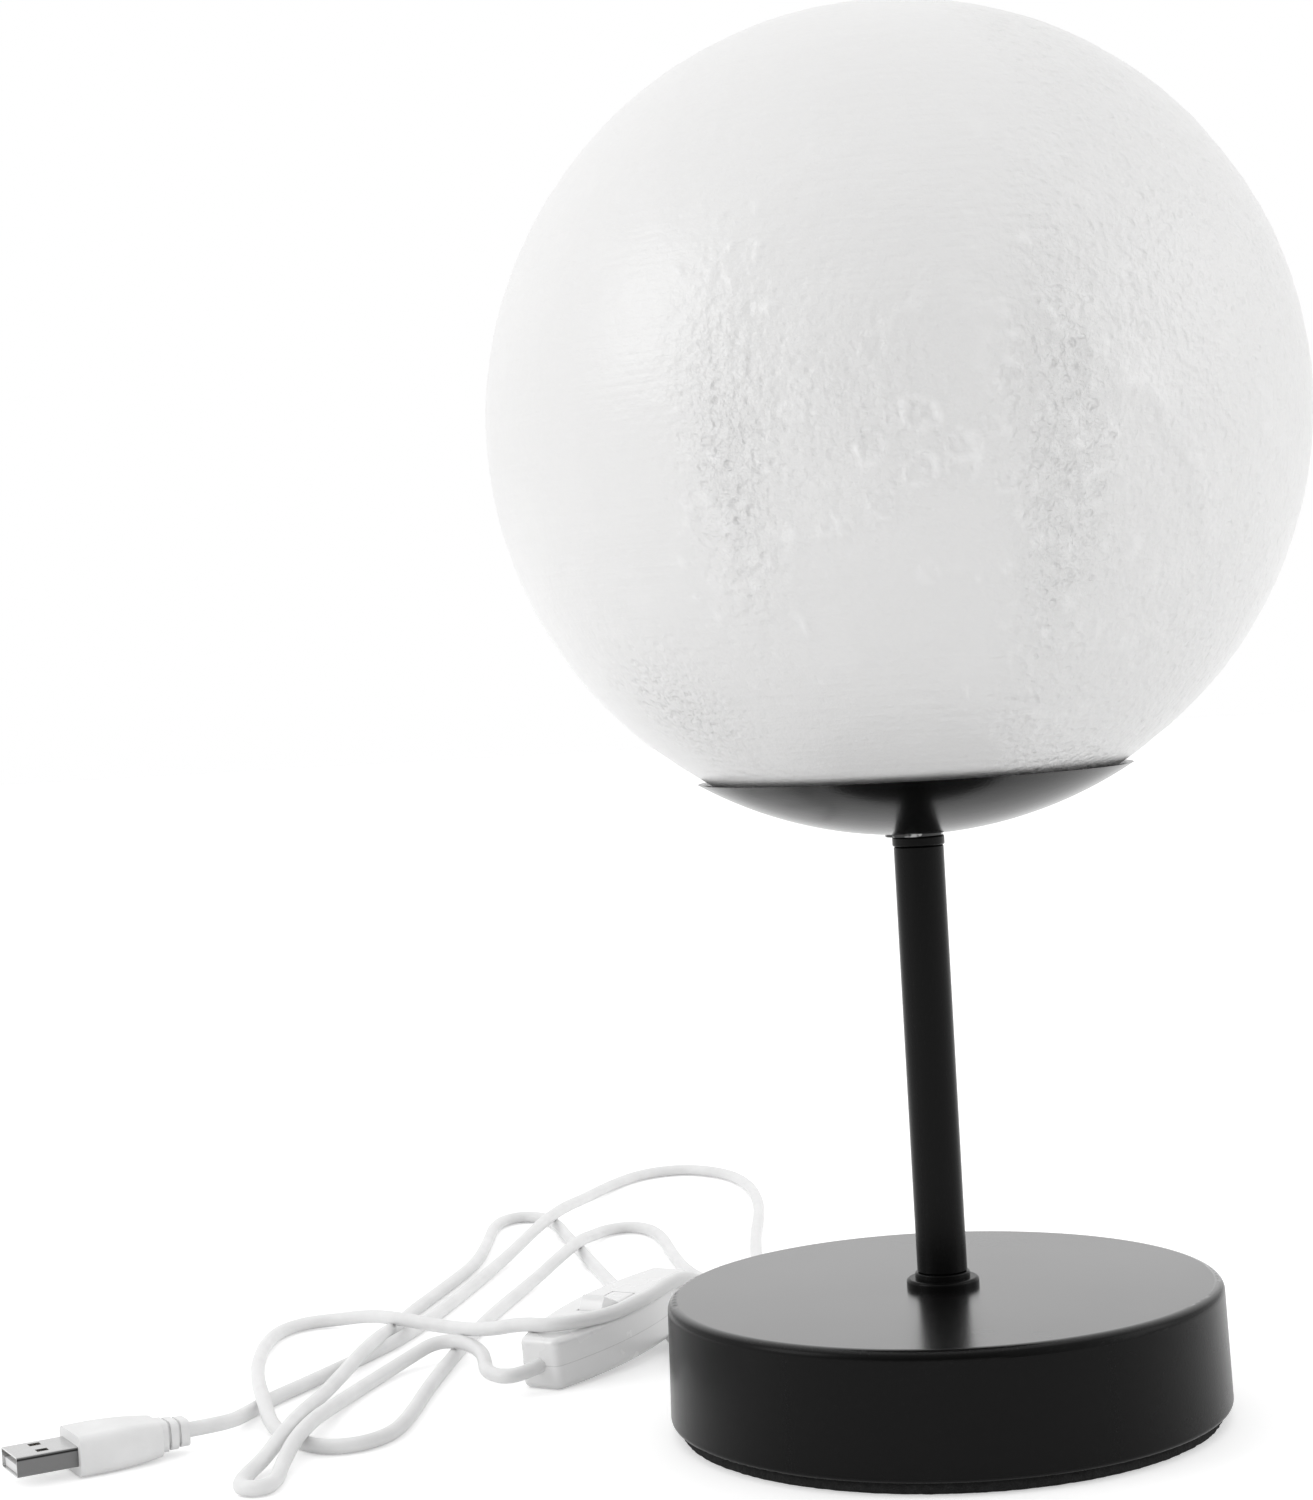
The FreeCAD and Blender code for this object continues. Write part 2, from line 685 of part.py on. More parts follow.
def boat(sketch, inset):
    """Outline of the switch in plan, drawn in by inset: blunt ends and bowed sides."""
    reach = f"(switch_length / 2 - {inset})"
    half_end = f"(switch_end / 2 - {inset})"
    bow = f"(switch_width / 2 - {inset} - {half_end})"
    radius = f"(({reach}) ^ 2 + ({bow}) ^ 2) / (2 * {bow})"
    outline(
        sketch,
        [
            ("-" + reach, "-" + half_end),
            (reach, "-" + half_end, radius),
            (reach, half_end),
            ("-" + reach, half_end, radius),
        ],
    )


def switch_shell(name, bottom, top, closed):
    """Half of the switch's housing, before its openings: closed is the height of its
    closed face, whose rim is rounded."""
    body = new_body(name)
    sketch = new_sketch(body, name + "_sketch", "XY_Plane", bottom)
    boat(sketch, "0")
    padded(body, name + "_pad", sketch, f"{top} - ({bottom})")
    upright = lambda e: e.BoundBox.ZLength > 4 and e.BoundBox.XLength < 0.01
    round_edges(body, name + "_corners", "2.2", upright)
    rim = lambda e: at_height(e, size(closed))
    round_edges(body, name + "_rim", "switch_rim", rim)
    return body


def cord_notch(body, name):
    """Round notch for the cord at both ends, centred on the parting line."""
    sketch = new_sketch(body, name, "YZ_Plane", "-switch_length")
    disc(sketch, "0", "switch_split", "cord_diameter / 2")
    cut(body, name + "_cut", sketch, "2 * switch_length", backwards=True)


def at_posts(sketch, radius):
    """A circle at each of the two screw posts, which stand corner to corner."""
    disc(sketch, "-post_along", "post_across", radius)
    disc(sketch, "post_along", "-post_across", radius)


def make_switch():
    """Housing in two halves with posts, pivot cheeks and a window for the rocker."""
    wall = "switch_wall"
    base = switch_shell("switch_base", "0", "switch_split", "0")
    sketch = new_sketch(base, "base_cavity_sketch", "XY_Plane", "switch_roof")
    boat(sketch, wall)
    cut(base, "base_cavity", sketch, "switch_height", backwards=True)
    posts = new_sketch(base, "base_post_sketch", "XY_Plane", "switch_roof - 0.2")
    at_posts(posts, "post_radius")
    padded(base, "base_posts", posts, "switch_split - switch_roof + 0.2")
    holes = new_sketch(base, "base_hole_sketch", "XY_Plane", "-1")
    at_posts(holes, "1.0")
    cut(base, "base_holes", holes, "switch_height", backwards=True)
    sinks = new_sketch(base, "base_sink_sketch", "XY_Plane", "-1")
    at_posts(sinks, "1.75")
    cut(base, "base_sinks", sinks, "2.2", backwards=True)
    cord_notch(base, "base_notch")

    cover = switch_shell("switch_cover", "switch_split", "switch_height", "switch_height")
    under = "switch_height - switch_roof"
    sketch = new_sketch(cover, "cover_cavity_sketch", "XY_Plane", "switch_split - 1")
    boat(sketch, wall)
    cut(cover, "cover_cavity", sketch, f"{under} - switch_split + 1", backwards=True)
    posts = new_sketch(cover, "cover_post_sketch", "XY_Plane", "switch_split")
    at_posts(posts, "post_radius")
    at_posts(posts, "0.85")
    padded(cover, "cover_posts", posts, f"{under} - switch_split + 0.2")
    cheeks = new_sketch(cover, "cheek_sketch", "XY_Plane", "pivot_height - 1.9")
    near, far = "rocker_width / 2 + 0.45", "rocker_width / 2 + 2.2"
    rectangle(cheeks, "-2.4", near, "2.4", far)
    rectangle(cheeks, "-2.4", f"-({far})", "2.4", f"-({near})")
    padded(cover, "cheek_pads", cheeks, f"{under} - pivot_height + 2.1")
    window = new_sketch(cover, "window_sketch", "XY_Plane", f"{under} - 1")
    half = "rocker_reach + 0.35"
    side = "rocker_width / 2 + 0.35"
    rectangle(window, f"-({half})", f"-({side})", half, side)
    cut(cover, "window", window, "5", backwards=True)
    bores = new_sketch(cover, "bore_sketch", "XZ_Plane", "-6")
    disc(bores, "0", "pivot_height", "trunnion_radius + 0.05")
    cut(cover, "bores", bores, "12", backwards=True)
    cord_notch(cover, "cover_notch")

    make_rocker()
    make_contacts()
    for name in ("switch_base", "switch_cover"):
        doc.getObject(name).Placement = switch_place()


def rocker_place(turn):
    """Frame of the rocker, turned about its pivot: X along the switch, Z up at 0."""
    pivot = Placement(Vector(0, 0, size("pivot_height")), Rotation(Vector(0, 1, 0), turn))
    return switch_place() * pivot


def make_rocker():
    """Rocker with two flats on top, ends that are arcs about its pivot, and trunnions.
    It is at rest with its far end pressed in."""
    reach = size("rocker_reach")
    crest, below = math.radians(size("crest_angle")), math.radians(size("skirt_angle"))
    corner = Vector(reach * math.cos(crest), reach * math.sin(crest))
    skirt = Vector(reach * math.cos(below), -reach * math.sin(below))
    body = new_body("switch_rocker")
    sketch = new_sketch(body, "rocker_sketch", "XZ_Plane")
    outline(
        sketch,
        [
            (f"{-skirt.x:.4f}", f"{skirt.y:.4f}"),
            ("-stalk_half", f"{skirt.y:.4f}"),
            ("-stalk_half", "-stalk_reach"),
            ("stalk_half", "-stalk_reach"),
            ("stalk_half", f"{skirt.y:.4f}"),
            (f"{skirt.x:.4f}", f"{skirt.y:.4f}"),
            (f"{corner.x:.4f}", f"{corner.y:.4f}", "rocker_reach"),
            ("0", "rocker_valley"),
            (f"{-corner.x:.4f}", f"{corner.y:.4f}"),
            (f"{-skirt.x:.4f}", f"{skirt.y + 0.0001:.4f}", "rocker_reach"),
        ],
    )
    pad = body.newObject("PartDesign::Pad", "rocker_pad")
    pad.Profile = sketch
    pad.setExpression("Length", bound("rocker_width"))
    pad.Midplane = True
    doc.recompute()
    tops = lambda e: e.BoundBox.ZMin > 2.9 and e.BoundBox.YLength < 0.01
    round_edges(body, "rocker_round", "0.5", tops)
    pins = new_sketch(body, "trunnion_sketch", "XZ_Plane")
    disc(pins, "0", "0", "trunnion_radius")
    trunnions = body.newObject("PartDesign::Pad", "trunnions")
    trunnions.Profile = pins
    trunnions.setExpression("Length", bound("rocker_width + 4"))
    trunnions.Midplane = True
    doc.recompute()
    bore = new_sketch(body, "plunger_bore_sketch", "XY_Plane", "-5")
    disc(bore, "0", "0", "plunger_body + 0.05")
    cut(body, "plunger_bore", bore, "3.6", backwards=True)
    body.Placement = rocker_place(size("rocker_angle"))

    plunger = turned(
        "rocker_plunger",
        [
            ("0", "-plunger_reach"),
            ("plunger_tip", "plunger_tip - plunger_reach", "plunger_tip"),
            ("plunger_tip", "-3.6"),
            ("plunger_body", "-3.2"),
            ("plunger_body", "-1.4"),
            ("0", "-1.4"),
        ],
    )
    plunger.Placement = rocker_place(size("rocker_angle"))


def make_contacts():
    """Contact blade that tips on its saddle, the two terminals, and the cord's ends."""
    blade = new_body("contact_blade")
    sketch = new_sketch(blade, "blade_sketch", "XZ_Plane")
    rectangle(sketch, "-blade_half", "blade_under", "blade_half", "blade_under + blade_thick")
    pad = blade.newObject("PartDesign::Pad", "blade_pad")
    pad.Profile = sketch
    pad.setExpression("Length", bound("blade_width"))
    pad.Midplane = True
    doc.recompute()
    hinge = Vector(0, 0, size("saddle_height"))
    tipped = Rotation(Vector(0, 1, 0), -size("blade_angle"))
    blade.Placement = switch_place() * Placement(hinge, tipped)

    floor, wide = size("switch_roof"), size("blade_width")
    saddle = Part.makeBox(1.0, wide, hinge.z - floor, Vector(-0.5, -wide / 2, floor))
    ridge = Part.makeCylinder(0.5, wide, hinge - Vector(0, wide / 2, 0), Vector(0, 1, 0))
    feed = Part.makeBox(11.0, 3.0, 0.5, Vector(0.4, -1.5, floor))
    saddle = saddle.fuse([ridge, feed]).removeSplitter()
    contact = Part.makeBox(9.0, 3.0, 0.5, Vector(-13, -1.5, floor))
    rivet = Part.makeCylinder(0.9, 1.26, Vector(-5, 0, floor), Vector(0, 0, 1))
    contact = contact.fuse(rivet).removeSplitter()
    terminals = solid("switch_terminals", Part.makeCompound([saddle, contact]))
    terminals.Placement = switch_place()

    ends = []
    radius = size("cord_diameter") / 2
    inset = size("switch_length") / 2
    for side in (-1, 1):
        start = Vector(side * inset, 0, size("switch_split"))
        ends.append(Part.makeCylinder(radius, inset - 12, start, Vector(-side, 0, 0)))
    leads = solid("switch_leads", Part.makeCompound(ends))
    leads.Placement = switch_place()

    screws = []
    for side in (-1, 1):
        seat = Vector(side * size("post_along"), -side * size("post_across"), 1.2)
        screws.append(pan_screw(seat, Vector(0, 0, -1), 1.6, 0.9, 0.8, 8.0))
    fixings = solid("switch_screws", Part.makeCompound(screws))
    fixings.Placement = switch_place()


# ---------------------------------------------------------------- plug
def plug_place():
    """Frame of the plug: X from its mouth to its cord, Z up."""
    middle = Vector(size("plug_x"), size("plug_y"), size("plug_z"))
    return Placement(middle, Rotation(Vector(0, 0, 1), size("plug_turn")))


def rounded(width, height, radius, station):
    """Closed wire: a rectangle with round corners, across X at the given station."""
    half_w, half_h = width / 2 - radius, height / 2 - radius
    middles = [(half_w, half_h), (-half_w, half_h), (-half_w, -half_h), (half_w, -half_h)]
    edges = []
    for k, (y, z) in enumerate(middles):
        angles = [math.radians(90 * k + step) for step in (0, 45, 90)]
        on_arc = [
            Vector(station, y + radius * math.cos(a), z + radius * math.sin(a)) for a in angles
        ]
        edges.append(Part.Arc(*on_arc).toShape())
    straights = []
    for k in range(4):
        end, start = edges[k].Vertexes[-1].Point, edges[(k + 1) % 4].Vertexes[0].Point
        straights.append(Part.makeLine(end, start))
    joined = [edge for pair in zip(edges, straights) for edge in pair]
    return Part.Wire(joined)


def block(width, height, radius, start, stop):
    """Prism with a rounded rectangular section, along X."""
    return Part.Face(rounded(width, height, radius, start)).extrude(Vector(stop - start, 0, 0))


def make_plug():
    """Metal shell, insulator with its contacts, moulded grip and strain relief."""
    width, height, wall = size("plug_width"), size("plug_height"), size("plug_wall")
    bare, buried = size("plug_bare"), size("plug_buried")
    outer = block(width, height, 0.6, 0, bare + buried)
    inner = block(width - 2 * wall, height - 2 * wall, 0.3, -1, bare + buried + 1)
    shell = outer.cut(inner)
    latch_start, latch_long, latch_wide, latch_offset = 5.2, 2.6, 2.2, 2.9
    for side in (-1, 1):
        low = side * latch_offset - latch_wide / 2
        corner = Vector(latch_start, low, -height)
        shell = shell.cut(Part.makeBox(latch_long, latch_wide, 2 * height, corner))
    shell = solid("usb_shell", shell)

    thick = 1.9
    drop = height / 2 - wall - 0.05
    tongue = block(width - 2 * wall - 0.2, thick, 0.2, 0.6, bare + buried - 4)
    tongue.translate(Vector(0, 0, thick / 2 - drop))
    back = block(width - 2 * wall, height - 2 * wall, 0.3, bare - 1, bare + buried)
    tongue = tongue.fuse(back).removeSplitter()
    contacts = []
    face = thick - drop
    for place in (-3.5, -1.0, 1.0, 3.5):
        channel = Part.makeBox(bare - 3.2, 1.0, 1.0, Vector(2.0, place - 0.5, face - 0.2))
        tongue = tongue.cut(channel)
        contacts.append(Part.makeBox(bare - 3.4, 0.9, 0.3, Vector(2.1, place - 0.45, face - 0.2)))
    insulator = solid("usb_insulator", tongue)
    fingers = solid("usb_contacts", Part.makeCompound(contacts))

    grip_end = bare + size("grip_length")
    stations = [
        (15.4, 9.0, 2.0, bare),
        (15.6, 9.3, 2.2, bare + 5),
        (14.6, 9.0, 2.6, bare + 13),
        (12.0, 7.8, 2.4, grip_end),
    ]
    grip = Part.makeLoft([rounded(*station) for station in stations], True, False)
    grip = grip.cut(block(width, height, 0.6, bare - 1, bare + buried))
    grip = solid("usb_grip", grip)

    relief = []
    edges = [0.0, 1.9, 2.6, 4.3, 5.0, size("relief_length")]
    sizes = [(8.0, 6.8), (6.0, 5.0), (7.6, 6.4), (5.6, 4.8), (7.0, 6.0)]
    for (a, b), (w, h) in zip(zip(edges, edges[1:]), sizes):
        relief.append(block(w, h, 1.6, grip_end + a, grip_end + b))
    relief = solid("usb_strain_relief", relief[0].fuse(relief[1:]).removeSplitter())
    for piece in (shell, insulator, fingers, grip, relief):
        piece.Placement = plug_place()


# ---------------------------------------------------------------- cords
# Route points chosen by hand, in millimetres. The cord lies on the surface and passes
# over itself in low humps. Each list leaves out the straight ends, which are worked out.
LAMP_ROUTE = [
    (-64.2, 49.5, 4.6), (-66, 61, 1.6), (-66.6, 73.5, 1.6), (-70.2, 87, 1.6),
    (-77.5, 107, 1.6), (-88, 137, 1.6),
    (-98.5, 172, 1.6), (-106, 204, 1.6), (-110, 224, 1.6), (-113.5, 239, 1.6),
    (-122, 249, 1.6), (-133.5, 247, 1.6), (-138, 234, 1.6), (-135.8, 209, 1.6),
    (-133.8, 178, 1.6), (-137.5, 146, 1.6), (-141.5, 118, 1.6), (-142.8, 101, 1.6),
    (-143.6, 87.5, 5), (-144.2, 64, 5), (-145.5, 46, 1.6), (-147, 25, 1.6),
    (-147.6, 4, 5), (-148.3, -17, 5), (-149, -30, 1.8), (-150.8, -39, 1.6),
    (-149.8, -46, 1.6), (-143.8, -46.3, 1.6), (-143, -39, 1.6), (-144.4, -30, 1.8),
    (-143.8, -18, 5), (-142.6, 4, 5), (-141, 25, 1.6), (-137.5, 45, 1.6),
    (-135, 60.5, 2.2), (-128, 69, 4.8), (-118, 69, 5.2), (-111, 61, 4.9),
    (-109, 48, 4.7), (-107.6, 37.2, 4.9), (-105.6, 31.9, 5.1), (-101.6, 30.6, 5.4),
]
PLUG_ROUTE = [
    (-60, 108, 8.5), (-58.5, 122, 3), (-62.5, 139, 1.6), (-71, 160, 1.6),
    (-78, 184, 1.6), (-80.5, 207, 1.6), (-82.5, 220.5, 1.6), (-89, 228, 1.6),
    (-97.5, 227.5, 1.6), (-103, 219.5, 1.8), (-101.8, 206, 4.8), (-105, 182, 5),
    (-109.5, 159, 1.8), (-114.5, 138, 1.6), (-118, 115, 1.6), (-120.5, 90, 1.6),
    (-122, 63, 1.6), (-123, 36, 1.6), (-122.8, 12, 1.6), (-124, -4, 1.6),
    (-130, -14.5, 1.6), (-140, -17, 1.6), (-149, -11, 1.6), (-153.5, 2, 1.8),
    (-157.5, 17, 5), (-163, 38, 5), (-169.5, 57, 1.6), (-174, 78, 1.6),
    (-175, 95, 1.6), (-169.5, 108, 1.6), (-159, 112.5, 1.8), (-148, 108, 5),
    (-137, 98.5, 5), (-126, 87, 5), (-116, 73, 7), (-107.5, 57, 11),
    (-101, 45.5, 14.6), (-94.3, 40, 14.7), (-87.3, 43, 14.9), (-81.5, 49.6, 15.4),
    (-77.1, 57.2, 16), (-73, 65.2, 16.6), (-68.9, 73.1, 17.5), (-64, 81, 17),
    (-59, 91, 11.5), (-54, 104, 4.2), (-50.5, 120, 1.7), (-49, 138, 1.6),
    (-51.5, 165, 1.6), (-54, 202, 1.6), (-54.5, 240, 1.6), (-57.5, 272, 1.6),
    (-63.5, 298, 1.6), (-72, 316, 1.6), (-85, 326.5, 1.6), (-98.5, 322, 1.6),
    (-107.5, 304, 1.6), (-113.5, 278, 1.6), (-117.5, 251, 5), (-121, 222, 5),
    (-124, 190, 1.6), (-128.5, 150, 1.6), (-133.5, 117, 1.6), (-139.5, 94.5, 1.6),
    (-145, 75.5, 1.6), (-150.2, 58.5, 1.6), (-155.5, 43.5, 1.6), (-159.5, 33, 1.6),
    (-160.8, 23.5, 1.6), (-161.8, 14, 2), (-161.5, 4.5, 3.8),
]


def arc_at(before, corner, after, reach=0.45):
    """The arc that rounds a corner of a route, as large as its shorter run allows."""
    back = (before - corner).normalize()
    ahead = (after - corner).normalize()
    shorter = min((before - corner).Length, (after - corner).Length)
    turn = math.pi - back.getAngle(ahead)
    radius = reach * shorter / math.tan(turn / 2)
    middle_way = (back + ahead).normalize()
    depth = radius / math.cos(turn / 2) - radius
    start = corner + back * (reach * shorter)
    end = corner + ahead * (reach * shorter)
    return Part.Arc(start, corner + middle_way * depth, end), start, end, radius


def tube(name, points, diameter):
    """A cord's solid along straight runs and tangent arcs; prints its length and radii."""
    edges = []
    radii = []
    last = points[0]
    for before, corner, after in zip(points, points[1:], points[2:]):
        arc, start, end, radius = arc_at(before, corner, after)
        edges.append(Part.LineSegment(last, start).toShape())
        edges.append(arc.toShape())
        radii.append(radius)
        last = end
    edges.append(Part.LineSegment(last, points[-1]).toShape())
    path = Part.Wire(edges)
    ring = Part.Circle(points[0], points[1] - points[0], diameter / 2).toShape()
    shape = path.makePipeShell([Part.Wire(ring)], True, False)
    expected = math.pi * diameter**2 / 4 * path.Length
    print(f"{name}: {path.Length:.0f} mm, volume {shape.Volume / expected:.4f} of its section")
    print(f"{name} radii:", " ".join(f"{r:.0f}" for r in radii))
    if abs(shape.Volume / expected - 1) > 0.01:
        raise RuntimeError(f"{name} is not a clean tube")
    return solid(name, shape)


def make_cords():
    diameter = size("cord_diameter")
    turn = math.radians(size("exit_angle"))
    outward = Vector(math.cos(turn), math.sin(turn), 0)
    exit_point = outward * size("exit_face") + Vector(0, 0, size("exit_height"))
    along_switch = switch_place().Rotation.multVec(Vector(1, 0, 0))
    half = size("switch_length") / 2
    near_end = switch_place().multVec(Vector(-half, 0, size("switch_split")))
    far_end = switch_place().multVec(Vector(half, 0, size("switch_split")))
    along_plug = plug_place().Rotation.multVec(Vector(1, 0, 0))
    plug_length = size("plug_bare + grip_length + relief_length")
    plug_end = plug_place().multVec(Vector(plug_length, 0, 0))

    route = [exit_point, exit_point + outward * 9.5] + [Vector(*p) for p in LAMP_ROUTE]
    route += [near_end - along_switch * 4.9, near_end]
    tube("cord_to_lamp", route, diameter)
    route = [far_end, far_end + along_switch * 7.7] + [Vector(*p) for p in PLUG_ROUTE]
    route += [plug_end + along_plug * 6.6, plug_end]
    tube("cord_to_plug", route, diameter)

    bend = size("lead_bend")
    inside = Vector(0, 0, size("exit_height"))
    top = Vector(0, 0, size("turret_top"))
    level = Part.LineSegment(exit_point, inside + outward * bend)
    middle = inside + (outward + Vector(0, 0, 1)) * bend * (1 - math.sqrt(0.5))
    corner = Part.Arc(inside + outward * bend, middle, inside + Vector(0, 0, bend))
    upright = Part.LineSegment(inside + Vector(0, 0, bend), top)
    path = Part.Wire([level.toShape(), corner.toShape(), upright.toShape()])
    ring = Part.Circle(exit_point, outward, diameter / 2).toShape()
    solid("inner_lead", path.makePipeShell([Part.Wire(ring)], True, False))


make_base()
make_cord_exit()
make_stem()
make_cup()
make_globe()
make_light()
make_switch()
make_plug()
make_cords()
doc.recompute()

# ---------------------------------------------------------------- check and export
NODES = [o for o in doc.Objects if o.TypeId in ("PartDesign::Body", "Part::Feature")]
failed = [o.Name for o in doc.Objects if {"Invalid", "Error"} & set(o.State)]
if failed:
    raise RuntimeError("failed objects: " + ", ".join(failed))
for node in NODES:
    if node.Shape.isNull() or not node.Shape.isValid() or node.Shape.Volume <= 0:
        raise RuntimeError(f"{node.Label} has no valid solid")
for node in NODES:
    node.Shape.exportStep(f"parts/{node.Label}.step")
    print(f"{node.Label:20s} {node.Shape.Volume:10.1f} mm3 {len(node.Shape.Faces):4d} faces")
print(len(NODES), "nodes")
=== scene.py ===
# %% [markdown]
# # A moon lamp, one piece at a time
# The real lamp is a printed moon globe that sits in a shallow black dish, on a thin stem and a
# heavy round base. A thin white cord with a rocker switch leads to a USB plug.
# The measured solids are loaded first and never move. Everything below either gives one of them
# a finish, or stands in for one that needs a finer surface.

# %% Load the measured model
import math

import bpy
import numpy as np
from mathutils import Matrix, Vector


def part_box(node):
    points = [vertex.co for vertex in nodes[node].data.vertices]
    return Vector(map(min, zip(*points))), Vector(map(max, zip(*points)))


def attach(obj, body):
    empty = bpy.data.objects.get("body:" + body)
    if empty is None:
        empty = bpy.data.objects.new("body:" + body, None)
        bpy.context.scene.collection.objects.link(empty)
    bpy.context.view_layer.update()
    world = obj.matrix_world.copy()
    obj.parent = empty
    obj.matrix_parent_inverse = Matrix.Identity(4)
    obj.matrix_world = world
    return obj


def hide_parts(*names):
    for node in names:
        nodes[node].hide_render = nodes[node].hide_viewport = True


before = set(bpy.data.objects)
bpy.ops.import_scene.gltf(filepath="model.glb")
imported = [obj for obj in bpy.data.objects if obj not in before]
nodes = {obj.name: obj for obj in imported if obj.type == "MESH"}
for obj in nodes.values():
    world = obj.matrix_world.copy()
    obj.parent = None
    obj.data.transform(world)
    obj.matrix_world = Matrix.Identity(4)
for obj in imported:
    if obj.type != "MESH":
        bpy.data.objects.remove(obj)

scene = bpy.context.scene
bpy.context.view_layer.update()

# %% [markdown]
# ## The camera
# A photograph is reproduced by standing where the photographer stood. The place, the lens and
# three small turns were fitted to the outlines of the globe, the dish and the base, so the
# camera is written as those numbers and not moved by eye.

# %% Camera
YAW, PITCH, ROLL = math.radians(-5.1), math.radians(1.45), math.radians(-3.34)
CAMERA_PLACE, SENSOR, LENS = (0.0, -0.6338, 0.16705), 36.0, 68.95
forward = Vector((math.sin(YAW) * math.cos(PITCH), math.cos(YAW) * math.cos(PITCH),
                  -math.sin(PITCH)))
level_right = Vector((math.cos(YAW), -math.sin(YAW), 0.0))
level_up = level_right.cross(forward)
right = math.cos(ROLL) * level_right + math.sin(ROLL) * level_up
up = math.cos(ROLL) * level_up - math.sin(ROLL) * level_right

camera = bpy.data.objects.new("camera", bpy.data.cameras.new("camera"))
camera.data.sensor_fit = "AUTO"
camera.data.sensor_width = SENSOR
camera.data.lens = LENS
camera.data.clip_start = 0.05
turned = Matrix((right, up, -forward)).transposed().to_4x4()
camera.matrix_world = Matrix.Translation(CAMERA_PLACE) @ turned
scene.collection.objects.link(camera)
scene.camera = camera
print("camera looks along", [round(v, 3) for v in forward])

# %% [markdown]
# ## The cords
# A cord is one smooth line with a round section, so it is a curve with a bevel. The points of
# its route pull on a spline of order 3, which cuts inside every corner, as a springy cord does.
# The ends are worked out from where the base, the switch and the plug are, and the points between
# were set by laying the photographed cord on the floor.

# %% Where the cords begin and end
MM = 0.001
CORD_DIAMETER = 3.5 * MM
# The switch: the middle of its footprint, its turn and the tilt that lifts its far end. Then its
# half length, the height of its split line and the rounding of its bottom edge.
SWITCH_X, SWITCH_Y = -82.2 * MM, 65.3 * MM
SWITCH_TURN, SWITCH_TILT = math.radians(63.5), math.radians(4.0)
SWITCH_HALF, SWITCH_SPLIT, SWITCH_ROUNDING = 31.0 * MM, 6.0 * MM, 1.6 * MM
# The plug: its place, its turn, and how far its strain relief ends from there.
PLUG_PLACE = (-204.2 * MM, -28.4 * MM, 4.7 * MM)
PLUG_TURN, PLUG_LENGTH = math.radians(33.5), 40.0 * MM
# The way out of the base: its direction, and the end of the grommet.
EXIT_TURN, EXIT_RADIUS, EXIT_HEIGHT = math.radians(145.0), 62.9 * MM, 9.0 * MM


def placed(place, turn, tilt=0.0):
    """Matrix of a frame at place, turned about Z and then raised at its far end by tilt."""
    rotation = Matrix.Rotation(turn, 4, "Z") @ Matrix.Rotation(-tilt, 4, "Y")
    return Matrix.Translation(place) @ rotation


switch_lift = (SWITCH_HALF - SWITCH_ROUNDING) * math.sin(SWITCH_TILT)
switch_lift += SWITCH_ROUNDING * (1 - math.cos(SWITCH_TILT))
switch_frame = placed((SWITCH_X, SWITCH_Y, switch_lift), SWITCH_TURN, SWITCH_TILT)
switch_near = switch_frame @ Vector((-SWITCH_HALF, 0, SWITCH_SPLIT))
switch_far = switch_frame @ Vector((SWITCH_HALF, 0, SWITCH_SPLIT))
switch_along = (switch_far - switch_near).normalized()

plug_frame = placed(PLUG_PLACE, PLUG_TURN)
plug_end = plug_frame @ Vector((PLUG_LENGTH, 0, 0))
plug_along = plug_frame.to_3x3() @ Vector((1, 0, 0))

exit_way = Vector((math.cos(EXIT_TURN), math.sin(EXIT_TURN), 0))
base_exit = exit_way * EXIT_RADIUS + Vector((0, 0, EXIT_HEIGHT))
print("cord leaves the base at", [round(v, 4) for v in base_exit])

# %% Routes, in millimetres
LAMP_ROUTE = [
    (-64.2, 49.5, 4.6), (-66, 61, 1.6), (-66.6, 73.5, 1.6), (-70.2, 87, 1.6),
    (-77.5, 107, 1.6), (-88, 137, 1.6), (-98.5, 172, 1.6), (-106, 198, 1.6),
    (-111.2, 215, 1.6), (-115.8, 232, 1.6), (-121.6, 246, 1.6), (-131, 249.5, 1.6),
    (-136.2, 238.5, 1.6), (-134.4, 212, 1.6), (-133, 181, 1.6), (-137, 149, 1.6),
    (-141.5, 119, 1.6), (-142.8, 101, 1.6), (-142.7, 84, 3.9), (-143.3, 62, 5.2),
    (-145.6, 47, 3), (-147.6, 30, 1.9), (-146.8, 6, 4.6), (-146.8, -13.5, 5),
    (-148.8, -25, 2.4), (-150.7, -36.5, 1.6), (-149.8, -44.4, 1.6), (-143.9, -44.8, 1.6),
    (-143, -37, 1.6), (-144, -28, 2.2), (-143, -19, 5), (-142.4, -3, 5),
    (-142.4, 20, 2.2), (-139.6, 38, 1.6), (-136, 53, 1.7), (-132, 64, 2.6),
    (-126.5, 68.8, 5), (-119.5, 67.6, 5.2), (-113.4, 58, 4.9), (-110.8, 47.5, 4.8),
    (-108.8, 35.5, 5), (-103.2, 27.8, 5.4),
]
